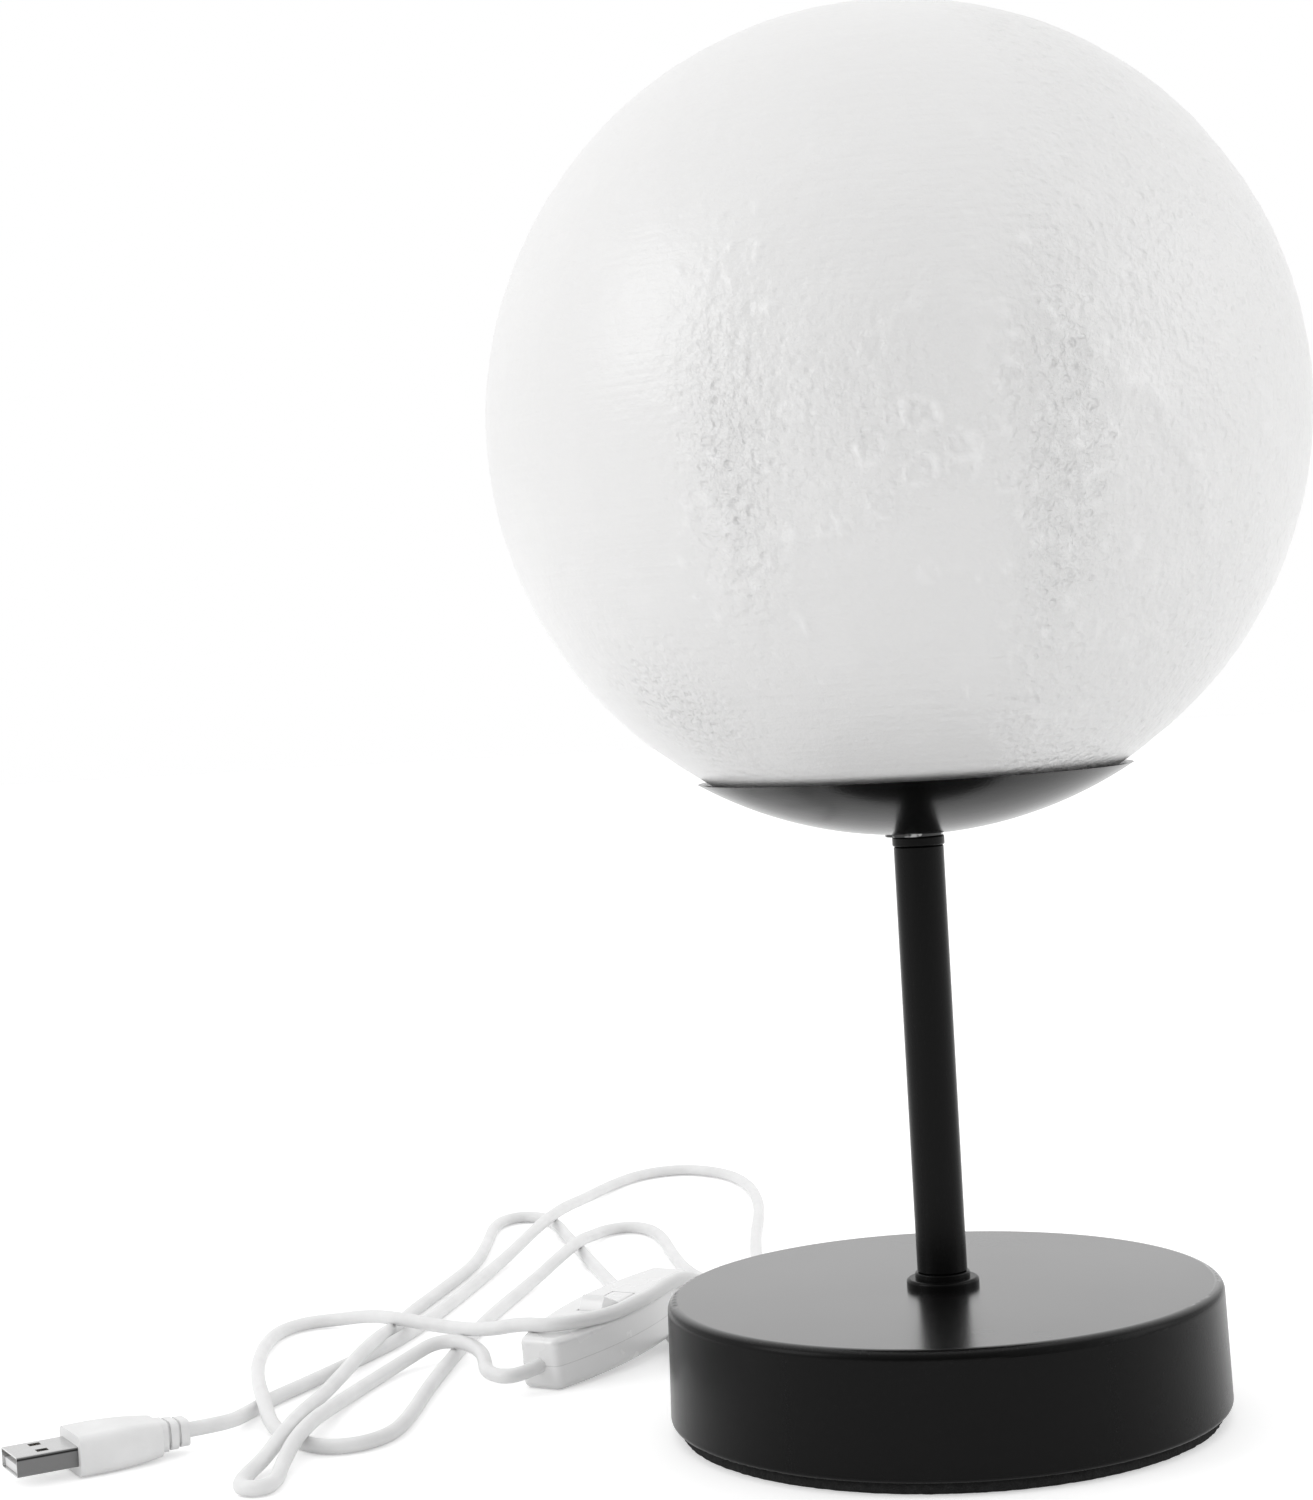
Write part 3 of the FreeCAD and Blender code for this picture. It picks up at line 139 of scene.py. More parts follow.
PLUG_ROUTE = [
    (-60, 108, 8.5), (-58.5, 122, 3), (-62.5, 139, 1.6), (-71, 158, 1.6),
    (-76.5, 181, 1.6), (-81.3, 205, 1.6), (-86, 219.5, 1.6), (-93, 226, 1.6),
    (-100, 222, 1.6), (-103.2, 208, 2.6), (-104, 190, 5.2), (-107.5, 170, 4.6),
    (-111.6, 158, 2.2), (-115, 139, 1.6), (-118.3, 115, 1.6), (-120.5, 90, 1.6),
    (-122, 63, 1.6), (-123, 36, 1.6), (-122.8, 12, 1.6), (-124, -4, 1.6),
    (-130, -13, 1.6), (-139, -14, 1.6), (-148, -5, 1.6), (-154.3, 6, 2),
    (-158.3, 17.5, 4.8), (-164, 36, 4.8), (-169.8, 61, 3), (-173.8, 86, 1.8),
    (-173.6, 102, 1.6), (-168.6, 111, 1.6), (-159.5, 113, 1.8), (-149.5, 105, 4.2),
    (-139.5, 93.5, 5.6), (-130, 84, 5.9), (-120.5, 72.5, 7.2), (-111, 56, 10.4),
    (-101, 45.2, 14), (-94.3, 39.6, 14.6), (-87, 41.8, 14.8), (-80.4, 48.1, 14.7),
    (-75.5, 55.4, 15.2), (-71.4, 63.3, 15.8), (-68, 71.6, 16.5), (-64.3, 80.2, 16.6),
    (-59, 91, 11.5), (-54, 104, 4.2), (-50.5, 120, 1.7), (-49, 138, 1.6),
    (-51.5, 165, 1.6), (-54, 202, 1.6), (-54.5, 240, 1.6), (-57.5, 272, 1.6),
    (-63.5, 298, 1.6), (-72, 314, 1.6), (-85, 323, 1.6), (-98.5, 316, 1.6),
    (-106.5, 297.5, 1.6), (-112, 270, 2.6), (-116, 241, 5), (-119.5, 214, 5),
    (-124.3, 190, 2.2), (-129, 154, 1.6), (-133.5, 118, 1.6), (-138.6, 89, 1.6),
    (-144.7, 70.5, 1.6), (-150, 56, 1.6), (-155, 42.5, 1.6), (-159.5, 31, 1.6),
    (-161.8, 21.5, 1.6), (-163, 12.5, 2.2), (-162.6, 3.6, 3.8),
]
print("points set by hand:", len(LAMP_ROUTE), "and", len(PLUG_ROUTE))

# %% Lay the two cords


def cord_curve(name, route):
    """A round cord: a spline of order 3 pulled by the route's points, through both ends. Its
    thickness is the points' radius times the bevel depth of 1. The radius carries the size,
    because Blender widens a curve's bounding box by it."""
    curve = bpy.data.curves.new(name, "CURVE")
    curve.dimensions = "3D"
    spline = curve.splines.new("NURBS")
    spline.points.add(len(route) - 1)
    weighted = np.ones((len(route), 4))
    weighted[:, :3] = route
    spline.points.foreach_set("co", weighted.ravel())
    spline.points.foreach_set("radius", np.full(len(route), CORD_DIAMETER / 2))
    spline.order_u = 3
    spline.use_endpoint_u = True
    spline.resolution_u = 10
    curve.bevel_depth = 1.0
    curve.bevel_resolution = 5
    curve.use_fill_caps = True
    cord = bpy.data.objects.new(name, curve)
    scene.collection.objects.link(cord)
    return cord


# The routes were set for a cord 3.1 mm thick, so they are lifted by half of what it has gained.
lift = Vector((0, 0, 0.2 * MM))
# How far each end runs straight on, in millimetres.
FROM_BASE, TO_SWITCH, FROM_SWITCH, TO_PLUG = 9.5, 4.9, 7.7, 6.6
lamp_route = [base_exit, base_exit + exit_way * FROM_BASE * MM]
lamp_route += [Vector(point) * MM + lift for point in LAMP_ROUTE]
lamp_route += [switch_near - switch_along * TO_SWITCH * MM, switch_near]
plug_route = [switch_far, switch_far + switch_along * FROM_SWITCH * MM]
plug_route += [Vector(point) * MM + lift for point in PLUG_ROUTE]
plug_route += [plug_end + plug_along * TO_PLUG * MM, plug_end]
lamp_cord = cord_curve("lamp_cord", np.array(lamp_route))
plug_cord = cord_curve("plug_cord", np.array(plug_route))

for cord, solid in ((lamp_cord, "cord_to_lamp"), (plug_cord, "cord_to_plug")):
    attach(cord, "lamp")
    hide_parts(solid)
print("cords pulled by", len(lamp_route), "and", len(plug_route), "points with their ends")

# %% [markdown]
# ## Meshes from arrays
# The moon and the foam pad are surfaces of turning: a profile is carried round Z. All rings have
# the same number of points, so the faces follow from index arithmetic on whole arrays. A last
# test adds up the volume: each triangle spans a small pyramid with the origin, and the sum is
# negative where the faces point inwards, so then they are turned over.

# %% A closed surface from rings of points


def ring_faces(rows, columns):
    """Quads between neighbouring rings: corner (i, j) joins (i+1, j), (i+1, j+1), (i, j+1),
    where the column after the last is the first again, so the seam is closed."""
    first, column = np.meshgrid(np.arange(rows - 1), np.arange(columns), indexing="ij")
    after = (column + 1) % columns
    corners = [first * columns + column, (first + 1) * columns + column,
               (first + 1) * columns + after, first * columns + after]
    return np.stack(corners, axis=-1).reshape(-1, 4)


def closed_surface(name, rings, start_pole, end_pole):
    """Mesh object from rings (rows, columns, 3), closed by a pole point at either end. Its
    volume is the sum of a . (b x c) / 6 over the triangles with corners a, b and c."""
    rows, columns = rings.shape[:2]
    points = np.vstack([rings.reshape(-1, 3), [start_pole, end_pole]])
    quads = ring_faces(rows, columns)
    around = np.arange(columns)
    beside = (around + 1) % columns
    last = (rows - 1) * columns
    pole = rows * columns
    start_fan = np.stack([np.full(columns, pole), around, beside], axis=-1)
    end_fan = np.stack([np.full(columns, pole + 1), last + beside, last + around], axis=-1)
    triangles = np.vstack([quads[:, [0, 1, 2]], quads[:, [0, 2, 3]], start_fan, end_fan])
    corners = points[triangles]
    volume = np.einsum("ij,ij->i", corners[:, 0], np.cross(corners[:, 1], corners[:, 2])).sum() / 6
    faces = quads.tolist() + start_fan.tolist() + end_fan.tolist()
    if volume < 0:
        faces = [face[::-1] for face in faces]
    mesh = bpy.data.meshes.new(name)
    mesh.from_pydata(points.tolist(), [], faces)
    mesh.update()
    mesh.shade_smooth()
    piece = bpy.data.objects.new(name, mesh)
    scene.collection.objects.link(piece)
    print(f"{name}: {len(triangles)} triangles, {abs(volume) * 1e6:.1f} cm3")
    return piece


def turned_rings(radii, heights, angles):
    """Rings of a surface of turning: (r cos a, r sin a, z) for each profile point (r, z)."""
    radius = np.asarray(radii)[:, None]
    height = np.broadcast_to(np.asarray(heights)[:, None], (len(radius), len(angles)))
    return np.stack([radius * np.cos(angles), radius * np.sin(angles), height], axis=-1)


# %% [markdown]
# ## Rough ground
# Uneven ground is noise: random numbers on a lattice, blended smoothly between them. Adding the
# same noise at twice the fineness and half the height, a few times, gives ground that is uneven
# at every size. Working it out here, and not in a texture, makes the shadows and outline real.

# %% Noise on whole arrays


def lattice_noise(points, seed):
    """Heights in -1..1: a number hashed from each of the eight lattice corners round a point,
    blended with weights 3t^2 - 2t^3 along every axis."""
    cell = np.floor(points).astype(np.int64)
    part = points - cell
    part = part * part * (3 - 2 * part)
    total = np.zeros(len(points))
    for corner in np.ndindex(2, 2, 2):
        at = cell + np.array(corner)
        key = at[:, 0] * 73856093 ^ at[:, 1] * 19349663 ^ at[:, 2] * 83492791 ^ seed * 2654435761
        key = (key ^ (key >> 13)) * 1274126177 & 0x7FFFFFFF
        number = ((key ^ (key >> 11)) & 0xFFFF) / 32767.5 - 1
        total += number * np.prod(np.where(corner, part, 1 - part), axis=1)
    return total


def rough_ground(points, seed, octaves=4):
    """Sum over k of noise(2^k p) / 2^k."""
    return sum(lattice_noise(points * 2**k, seed + k) / 2**k for k in range(octaves))


def facing(latitude, longitude):
    """Unit vector to a place on the globe. Longitude 0 faces the camera, 90 is to the right."""
    lat, lon = np.radians(latitude), np.radians(longitude)
    return np.stack([np.cos(lat) * np.sin(lon), -np.cos(lat) * np.cos(lon), np.sin(lat)], axis=-1)


def away_from(directions, centre):
    """Angle in degrees between each direction and a centre."""
    return np.degrees(np.arccos(np.clip(directions @ centre, -1, 1)))


sample = rough_ground(np.linspace(0, 20, 800)[:, None] * np.array([1.0, 0.6, 0.3]), 1)
print(f"rough ground along a line: {sample.min():.2f} to {sample.max():.2f}")

# %% [markdown]
# ## Craters, ring basins and a scarp
# A crater is a bowl with a raised rim, and the printed ones have a small dome in the middle, like
# a blister. Measured from its centre in units of its radius, the bowl is a parabola that ends at
# 1, the rim is a bell over 1 and the dome a bell over 0. The few that stand out on the front have
# their own places. No rim is a true circle, because every direction is first moved a little by
# noise.

# %% Landforms: latitude, longitude and radius in degrees, then the height or depth in millimetres
CRATERS = [
    (-4, 3, 2.0, 0.46), (-8, -3, 1.7, 0.46), (-11, 3, 1.8, 0.44), (-8, 8, 1.6, 0.40),
    (-11, 8, 1.4, 0.36), (-15, -2, 1.4, 0.40), (-17, -9, 1.3, 0.38), (-17, -7, 1.0, 0.3),
    (-3, -12, 1.2, 0.24), (-9, -16, 1.1, 0.26), (-24, 3, 1.2, 0.16), (-6, 12, 1.2, 0.3),
    (22, 12, 2.0, 0.08), (31, -8, 1.8, 0.07), (-22, 30, 2.2, 0.2), (3, 44, 2.0, 0.1),
    (-34, 33, 2.6, 0.16), (12, 35, 1.6, 0.1), (-5, 55, 2.0, 0.1), (26, 46, 2.0, 0.08),
    (4, -2, 1.5, 0.2), (-1, -7, 1.3, 0.22), (-13, 13, 1.1, 0.3), (0, 14, 1.4, 0.3),
]
RING_BASINS = [(-14, 27, 5.2, 0.12), (-13, 41, 4.4, 0.14), (6, 2, 5.0, 0.08), (-30, 48, 6.0, 0.1)]
SPECKS = [(-25, 10, 0.6, 0.4), (-28, 14, 0.6, 0.36), (-37, 16, 0.7, 0.36), (-42, 9, 0.6, 0.36),
          (-18, -14, 1.3, 0.42), (-27, 12, 0.4, 0.3), (-6, 22, 0.6, 0.35), (-12, -19, 0.6, 0.3)]
# The scarp is a chain of places.
SCARP = [(4, 22), (1, 26), (-4, 33), (-12, 40), (-20, 44)]
print("landforms with their own places:", len(CRATERS) + len(RING_BASINS) + len(SPECKS) + 1)

# %% The shape of each kind


def bell(value, centre, width):
    """exp(-((value - centre) / width)^2)."""
    return np.exp(-(((value - centre) / width) ** 2))


def stirred(directions, amount=0.013):
    """Unit directions, each moved by amount times a noise for x, for y and for z."""
    shift = [rough_ground(directions * 34 + 5 * axis, 50 + axis, 2) for axis in range(3)]
    moved = directions + amount * np.stack(shift, axis=-1)
    return moved / np.linalg.norm(moved, axis=1, keepdims=True)


def crater(directions, latitude, longitude, radius, depth):
    """-0.6 depth (1 - t^2) inside t = 1, a rim of 0.8 depth exp(-((t - 1) / 0.3)^2), and a dome
    of 1.1 depth exp(-(t / 0.45)^2) at the middle."""
    t = away_from(directions, facing(latitude, longitude)) / radius
    bowl = np.clip(1 - t**2, 0, None)
    return depth * (0.8 * bell(t, 1, 0.3) + 1.1 * bell(t, 0, 0.45) - 0.6 * bowl)


def ring_basin(directions, latitude, longitude, radius, height):
    """Rings about a centre: height cos(4 pi t) exp(-t^4), with t = 1 at the outer ring."""
    t = away_from(directions, facing(latitude, longitude)) / radius
    return height * np.cos(4 * np.pi * t) * np.exp(-(t**4))


def scarp(directions, places, drop, width):
    """A step along a chain of places: drop tanh(s / 0.8) exp(-(d / width)^2), where s is the
    signed and d the plain distance in degrees from the nearest link."""
    nearest = np.full(len(directions), 90.0)
    signed = np.zeros(len(directions))
    for start, end in zip(places, places[1:]):
        a, b = facing(*start), facing(*end)
        pole = np.cross(a, b) / np.linalg.norm(np.cross(a, b))
        across = np.degrees(np.arcsin(np.clip(directions @ pole, -1, 1)))
        middle = (a + b) / np.linalg.norm(a + b)
        reach = np.degrees(np.arccos(np.clip(a @ b, -1, 1))) / 2
        along = np.clip(away_from(directions, middle) - reach, 0, None)
        distance = np.hypot(across, along)
        closer = distance < nearest
        nearest = np.where(closer, distance, nearest)
        signed = np.where(closer, across, signed)
    return drop * np.tanh(signed / 0.8) * bell(nearest, 0, width)


# %% [markdown]
# ## Scattered craters and rough highlands
# Most craters and grains are too small and too many to be placed one by one, so they are drawn
# from fixed seeds: many small and few large, and fainter on the smooth plains. The ground between
# them is smooth in some places and rough in others, so its noise is multiplied by a strength,
# which is a sum of soft bells over the rough places.

# %% Landforms at random


def scattered_craters(directions, count, seed):
    """Craters at random places, even by area. With u even in 0..1, the radius r is 0.8 + 2.8 u^5
    degrees and the depth 0.09 sqrt(r) mm, or 0.3 of that on the three smooth regions."""
    chance = np.random.default_rng(seed)
    height = np.zeros(len(directions))
    latitudes = np.degrees(np.arcsin(chance.uniform(-0.85, 1.0, count)))
    longitudes = chance.uniform(-180, 180, count)
    radii = 0.8 + 2.8 * chance.uniform(0, 1, count) ** 5
    smooth_left = (longitudes > -80) & (longitudes < -28)
    smooth_foot = (latitudes < -20) & (np.abs(longitudes) < 16)
    quiet_top = (latitudes > 8) & (np.abs(longitudes) < 70)
    loud = np.where(smooth_left | smooth_foot | quiet_top, 0.3, 1.0)
    for latitude, longitude, radius, share in zip(latitudes, longitudes, radii, loud):
        height += crater(directions, latitude, longitude, radius, 0.09 * radius**0.5 * share)
    return height


def scattered_specks(directions, count, seed):
    """Small grains on the two rough bands of the front: places drawn from a normal law about
    each band's middle, radii 0.35 to 0.75 degrees, rising 0.15 to 0.45 mm."""
    chance = np.random.default_rng(seed)
    height = np.zeros(len(directions))
    for middle, share in ((21, 0.6), (-21, 0.4)):
        for _ in range(int(count * share)):
            place = facing(chance.normal(-11, 15), chance.normal(middle, 4.5))
            radius, rise = chance.uniform(0.35, 0.75), chance.uniform(0.15, 0.45)
            height += rise * bell(away_from(directions, place), 0, radius)
    return height


# %% All of the relief
# How much deeper the craters with their own places are, and the scarp's drop and width.
CRATER_SHARE, SCARP_DROP, SCARP_WIDTH = 1.3, 0.2, 5.0
LOWEST, HIGHEST = -1.0, 0.55


def ground_strength(directions):
    """0 on the smooth plains to 1 on the rough highlands: a sum of bells over the places."""
    latitude = np.degrees(np.arcsin(np.clip(directions[:, 2], -1, 1)))
    longitude = np.degrees(np.arctan2(directions[:, 0], -directions[:, 1]))
    band = bell(longitude, 21, 6) * bell(latitude, -10, 27)
    patch = 0.8 * bell(longitude, -22, 6) * bell(latitude, -9, 17)
    corner = 0.7 * bell(longitude, -46, 12) * bell(latitude, -42, 10)
    middle = 0.5 * bell(longitude, -2, 17) * bell(latitude, -3, 14)
    right = 0.16 + 0.16 * np.tanh((longitude - 24) / 6)
    far_side = 0.35 * (longitude < -90)
    return np.clip(0.08 + band + patch + corner + middle + right + far_side, 0, 1)


def moon_relief(directions):
    """Height in millimetres over the smooth globe, for each unit direction: slow swells, ground
    that is rough where strength is high, ridges drawn out level, and then all the landforms."""
    strength = ground_strength(directions)
    loose = stirred(directions)
    height = 0.10 * rough_ground(directions * 5, 3) + 0.06 * rough_ground(directions * 14, 5, 2)
    height += 0.2 * strength * rough_ground(directions * 34, 21, 2)
    level = directions * np.array([14.0, 14.0, 60.0])
    height += 0.05 * (0.3 + strength) * rough_ground(level, 31, 2)
    scattered = scattered_craters(loose, count=620, seed=7)
    height += scattered + scattered_specks(loose, count=300, seed=11)
    for latitude, longitude, radius, depth in CRATERS:
        height += CRATER_SHARE * crater(loose, latitude, longitude, radius, depth)
    for landform in RING_BASINS:
        height += ring_basin(loose, *landform)
    for latitude, longitude, radius, rise in SPECKS:
        height += rise * bell(away_from(loose, facing(latitude, longitude)), 0, radius)
    height += scarp(loose, SCARP, SCARP_DROP, SCARP_WIDTH)
    return np.clip(height, LOWEST, HIGHEST), strength


# %% [markdown]
# ## The moon globe
# The globe is a printed shell, open underneath where the light goes in. Its outer wall is a grid
# that carries the relief, drawn closer together on the front and round the equator, where small
# craters have to be sharp. The mouth and the inner wall close the shell with few rings. The
# relief fades out towards the flat underside, where the dish holds the globe, and stays just
# inside the measured sphere. Height and roughness of the ground are kept as attributes, so that
# the finish can follow them.

# %% Sizes of the globe, in millimetres


def box_in_mm(node):
    """Lowest and highest corner of a measured solid, to a hundredth of a millimetre."""
    return [[round(value / MM, 2) for value in corner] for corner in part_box(node)]


(_, _, GLOBE_SEAT), (GLOBE_RADIUS, _, GLOBE_TOP) = box_in_mm("moon_globe")
GLOBE_MIDDLE = round(GLOBE_TOP - GLOBE_RADIUS, 2)
# The wall, the floor over the flat underside, and the mouth in the floor with its rounded edge.
GLOBE_WALL, GLOBE_FLOOR, GLOBE_MOUTH, MOUTH_EDGE = 1.6, GLOBE_SEAT + 3.0, 24.0, 0.4
# Two rings between the mouth and the sphere, one underneath and one on the floor.
SEAT_RING, FLOOR_RING = 31.0, 30.0
# The smooth sphere is this much too small, so that the highest relief stays inside the real one.
RELIEF_ROOM = HIGHEST + 0.01
# The relief begins this far above the underside, and is full this much higher.
FADE_START, FADE_HEIGHT = 0.5, 7
ROWS, COLUMNS, INNER_ROWS = 200, 440, 18
print("globe: radius", GLOBE_RADIUS, "round a middle", GLOBE_MIDDLE, "high, seat", GLOBE_SEAT)

# %% Moon globe


def closer_in_front(columns, share=0.6):
    """Angles a - share sin(a) for even a, turned so that the closest ones face the camera."""
    even = np.linspace(-np.pi, np.pi, columns, endpoint=False)
    return even - share * np.sin(even) - np.pi / 2


def closer_at_middle(rows, length, share=0.48):
    """Steps length (s + share sin(2 pi s) / 2 pi) for even s in 0..1, closest at the middle."""
    even = np.linspace(0, 1, rows + 1)[1:]
    return length * (even + share * np.sin(2 * np.pi * even) / (2 * np.pi))


def make_moon():
    """Outer rows (R sin t, R cos t) plus the relief, faded by 3f^2 - 2f^3, then the rings of the
    underside, the mouth and the floor inside, and the inner sphere."""
    angles = closer_in_front(COLUMNS)
    foot = math.acos((GLOBE_SEAT - GLOBE_MIDDLE) / GLOBE_RADIUS)
    polar = closer_at_middle(ROWS, foot)
    directions = turned_rings(np.sin(polar), np.cos(polar), angles)
    flat = directions.reshape(-1, 3)
    above_seat = flat[:, 2] * GLOBE_RADIUS + GLOBE_MIDDLE - GLOBE_SEAT
    fade = np.clip((above_seat - FADE_START) / FADE_HEIGHT, 0, 1)
    relief, strength = moon_relief(flat)
    relief = relief * fade * fade * (3 - 2 * fade)
    outer = flat * (GLOBE_RADIUS - RELIEF_ROOM * fade + relief)[:, None]
    outer[:, 2] += GLOBE_MIDDLE
    outer = outer.reshape(directions.shape)
    outer[-1, :, 2] = GLOBE_SEAT
    inner_radius = GLOBE_RADIUS - GLOBE_WALL
    inner_foot = math.acos((GLOBE_FLOOR - GLOBE_MIDDLE) / inner_radius)
    inner_polar = np.linspace(inner_foot, 0, INNER_ROWS)[:-1]
    foot_radii = [SEAT_RING, GLOBE_MOUTH + MOUTH_EDGE, GLOBE_MOUTH, GLOBE_MOUTH, FLOOR_RING]
    foot_heights = [GLOBE_SEAT, GLOBE_SEAT, GLOBE_SEAT + MOUTH_EDGE, GLOBE_FLOOR, GLOBE_FLOOR]
    radii = np.concatenate([foot_radii, inner_radius * np.sin(inner_polar)])
    heights = np.concatenate([foot_heights, GLOBE_MIDDLE + inner_radius * np.cos(inner_polar)])
    rings = np.concatenate([outer, turned_rings(radii, heights, angles)])
    top = np.array((0, 0, GLOBE_MIDDLE + GLOBE_RADIUS - RELIEF_ROOM))
    under_top = np.array((0, 0, GLOBE_MIDDLE + inner_radius))
    globe = closed_surface("moon", rings * MM, top * MM, under_top * MM)
    for name, values in (("relief", relief), ("strength", strength)):
        on_all = np.zeros(len(globe.data.vertices))
        on_all[: len(values)] = values
        globe.data.attributes.new(name, "FLOAT", "POINT").data.foreach_set("value", on_all)
    print(f"relief from {relief.min():.2f} to {relief.max():.2f} mm")
    return globe


moon = make_moon()
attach(moon, "lamp")
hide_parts("moon_globe")

# %% [markdown]
# ## The foam pad
# Under the base is a disc of black foam. Foam has no sharp edge: its rim bulges a little between
# the plate above and the table below, and is uneven where it was cut. So the rim is a half round
# profile, and its radius wavers with noise round the pad.

# %% Foam pad
_, (PAD_RADIUS, _, PAD_THICK) = box_in_mm("foam_pad")
# The rim's profile starts 0.75 mm inside the pad's radius, bulges by 0.55 and wavers by 0.16.
RIM_INSET, RIM_BULGE, RIM_WAVER = 0.75, 0.55, 0.16
FLAT_RINGS, WAVER_START = [20, 40, 56], 58


def make_foam_pad():
    """Flat disc whose rim is the half ellipse (bulge cos t, thickness / 2 sin t), with noise of
    up to the waver in its radius."""
    angles = np.linspace(0, 2 * np.pi, 480, endpoint=False)
    turn = np.linspace(-np.pi / 2, np.pi / 2, 9)
    rim_radii = PAD_RADIUS - RIM_INSET + RIM_BULGE * np.cos(turn)
    rim_heights = PAD_THICK / 2 * (1 + np.sin(turn))
    radii = np.concatenate([FLAT_RINGS, rim_radii, FLAT_RINGS[::-1]])
    heights = np.concatenate([[0, 0, 0], rim_heights, [PAD_THICK] * 3])
    rings = turned_rings(radii, heights, angles)
    waver = rough_ground(rings.reshape(-1, 3) * 0.9, 41, 3).reshape(rings.shape[:2])
    at_rim = np.clip(radii - WAVER_START, 0, 1)[:, None]
    rings[..., :2] *= (1 + RIM_WAVER * waver * at_rim / PAD_RADIUS)[..., None]
    return closed_surface("foam_rest", rings * MM, np.zeros(3), np.array((0, 0, PAD_THICK)) * MM)


foam = make_foam_pad()
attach(foam, "lamp")
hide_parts("foam_pad")

# %% [markdown]
# ## Small tools for finishes
# A finish is a little graph of nodes. A few helpers keep the graphs short: one links a socket, one
# adds a node and fills or links its sockets, and the others each do one step, such as a sum, a
# range of values turned into another, noise, a blend of two colours or a bump.

# %% Node helpers


def feed(node, name, value):
    """Link another node's output to one of a node's inputs."""
    node.id_data.links.new(value, node.inputs[name])


def add(tree, kind, settings=(), sockets=()):
    """A shader node with its properties set, and its inputs linked or filled in."""
    node = tree.nodes.new("ShaderNode" + kind)
    for name, value in dict(settings).items():
        setattr(node, name, value)
    for name, value in dict(sockets).items():
        if isinstance(value, bpy.types.NodeSocket):
            feed(node, name, value)
        else:
            node.inputs[name].default_value = value
    return node


def sums(tree, operation, first, second=0.0):
    """One arithmetic step."""
    return add(tree, "Math", {"operation": operation}, {0: first, 1: second}).outputs[0]


def span(tree, value, low, high, to_low, to_high):
    """value from low..high becomes to_low..to_high, held at both ends."""
    node = add(tree, "MapRange", sockets={0: value, 1: low, 2: high, 3: to_low, 4: to_high})
    return node.outputs[0]


def blend(tree, mask, first, second):
    """Colour between first, where the mask is 0, and second, where it is 1."""
    node = add(tree, "Mix", {"data_type": "RGBA"}, {0: mask, 6: first, 7: second})
    return node.outputs[2]


def bump(tree, height, depth):
    """Normals tipped as if the surface rose by depth metres where height is 1."""
    sockets = {"Height": height, "Distance": depth, "Strength": 1.0}
    return add(tree, "Bump", sockets=sockets).outputs["Normal"]


def noise(tree, point, scale, detail=2.0):
    """Noise of 0 to 1, with scale cells in a metre and finer ones added detail times."""
    sockets = {"Vector": point, "Scale": scale, "Detail": detail}
    return add(tree, "TexNoise", sockets=sockets).outputs[0]


def object_point(tree):
    """The point being shaded, in the frame that all the pieces share."""
    return add(tree, "TexCoord").outputs["Object"]


def facing_up(tree, low, high, most=1.0):
    """0 where the normal's Z is under low, and rising to most where it is over high."""
    normal = add(tree, "SeparateXYZ", sockets={0: add(tree, "NewGeometry").outputs["Normal"]})
    return span(tree, normal.outputs["Z"], low, high, 0.0, most)


def grey(level, warm=0.0):
    """A neutral colour, slightly warmer or colder."""
    return (level * (1 + warm), level, level * (1 - warm), 1.0)


def darker(colour, share):
    """A colour with its channels times share."""
    return tuple(share * channel for channel in colour[:3]) + (1.0,)


# %% [markdown]
# ## Shared effects
# Grain, slow unevenness and settled dust show on many of the lamp's finishes, each at its own
# scale. Each is built once as a node group with named inputs, and placed where it is needed.

# %% Grain, unevenness and dust


def new_group(name, inputs, outputs):
    """An empty group with number inputs (name, value) and number outputs."""
    tree = bpy.data.node_groups.new(name, "ShaderNodeTree")
    for label, value in inputs:
        socket = tree.interface.new_socket(label, in_out="INPUT", socket_type="NodeSocketFloat")
        socket.default_value = value
    for label in outputs:
        tree.interface.new_socket(label, in_out="OUTPUT", socket_type="NodeSocketFloat")
    return tree, tree.nodes.new("NodeGroupInput"), tree.nodes.new("NodeGroupOutput")


def build_grain():
    """Height: fine noise, Scale per metre, stretched over 0..1, which reads as orange peel."""
    tree, given, out = new_group("coating_grain", [("Scale", 1500.0)], ["Height"])
    fine = noise(tree, object_point(tree), given.outputs["Scale"])
    feed(out, "Height", span(tree, fine, 0.3, 0.7, 0.0, 1.0))
    return tree


def build_unevenness():
    """Tone: slow blotches about 0, to be added to a roughness or a mask."""
    tree, given, out = new_group("slow_unevenness", [("Scale", 30.0), ("Amount", 0.05)], ["Tone"])
    slow = noise(tree, object_point(tree), given.outputs["Scale"], 3.0)
    centred = sums(tree, "SUBTRACT", slow, 0.5)
    feed(out, "Tone", sums(tree, "MULTIPLY", centred, given.outputs["Amount"]))
    return tree


def build_dust():
    """Mask: on faces that look up, where fine and slow noise are both high."""
    tree, given, out = new_group("settled_dust", [("Amount", 0.2)], ["Mask"])
    point = object_point(tree)
    patchy = span(tree, noise(tree, point, 45.0), 0.4, 0.7, 0.2, 1.0)
    specks = span(tree, noise(tree, point, 1900.0, 1.0), 0.62, 0.72, 0.0, 1.0)
    amount = sums(tree, "MULTIPLY", facing_up(tree, 0.5, 0.95), given.outputs["Amount"])
    total = sums(tree, "MULTIPLY", sums(tree, "MULTIPLY", patchy, specks), amount)
    feed(out, "Mask", total)
    return tree


GRAIN, UNEVENNESS, DUST = build_grain(), build_unevenness(), build_dust()
print("shared effects:", GRAIN.name, UNEVENNESS.name, DUST.name)


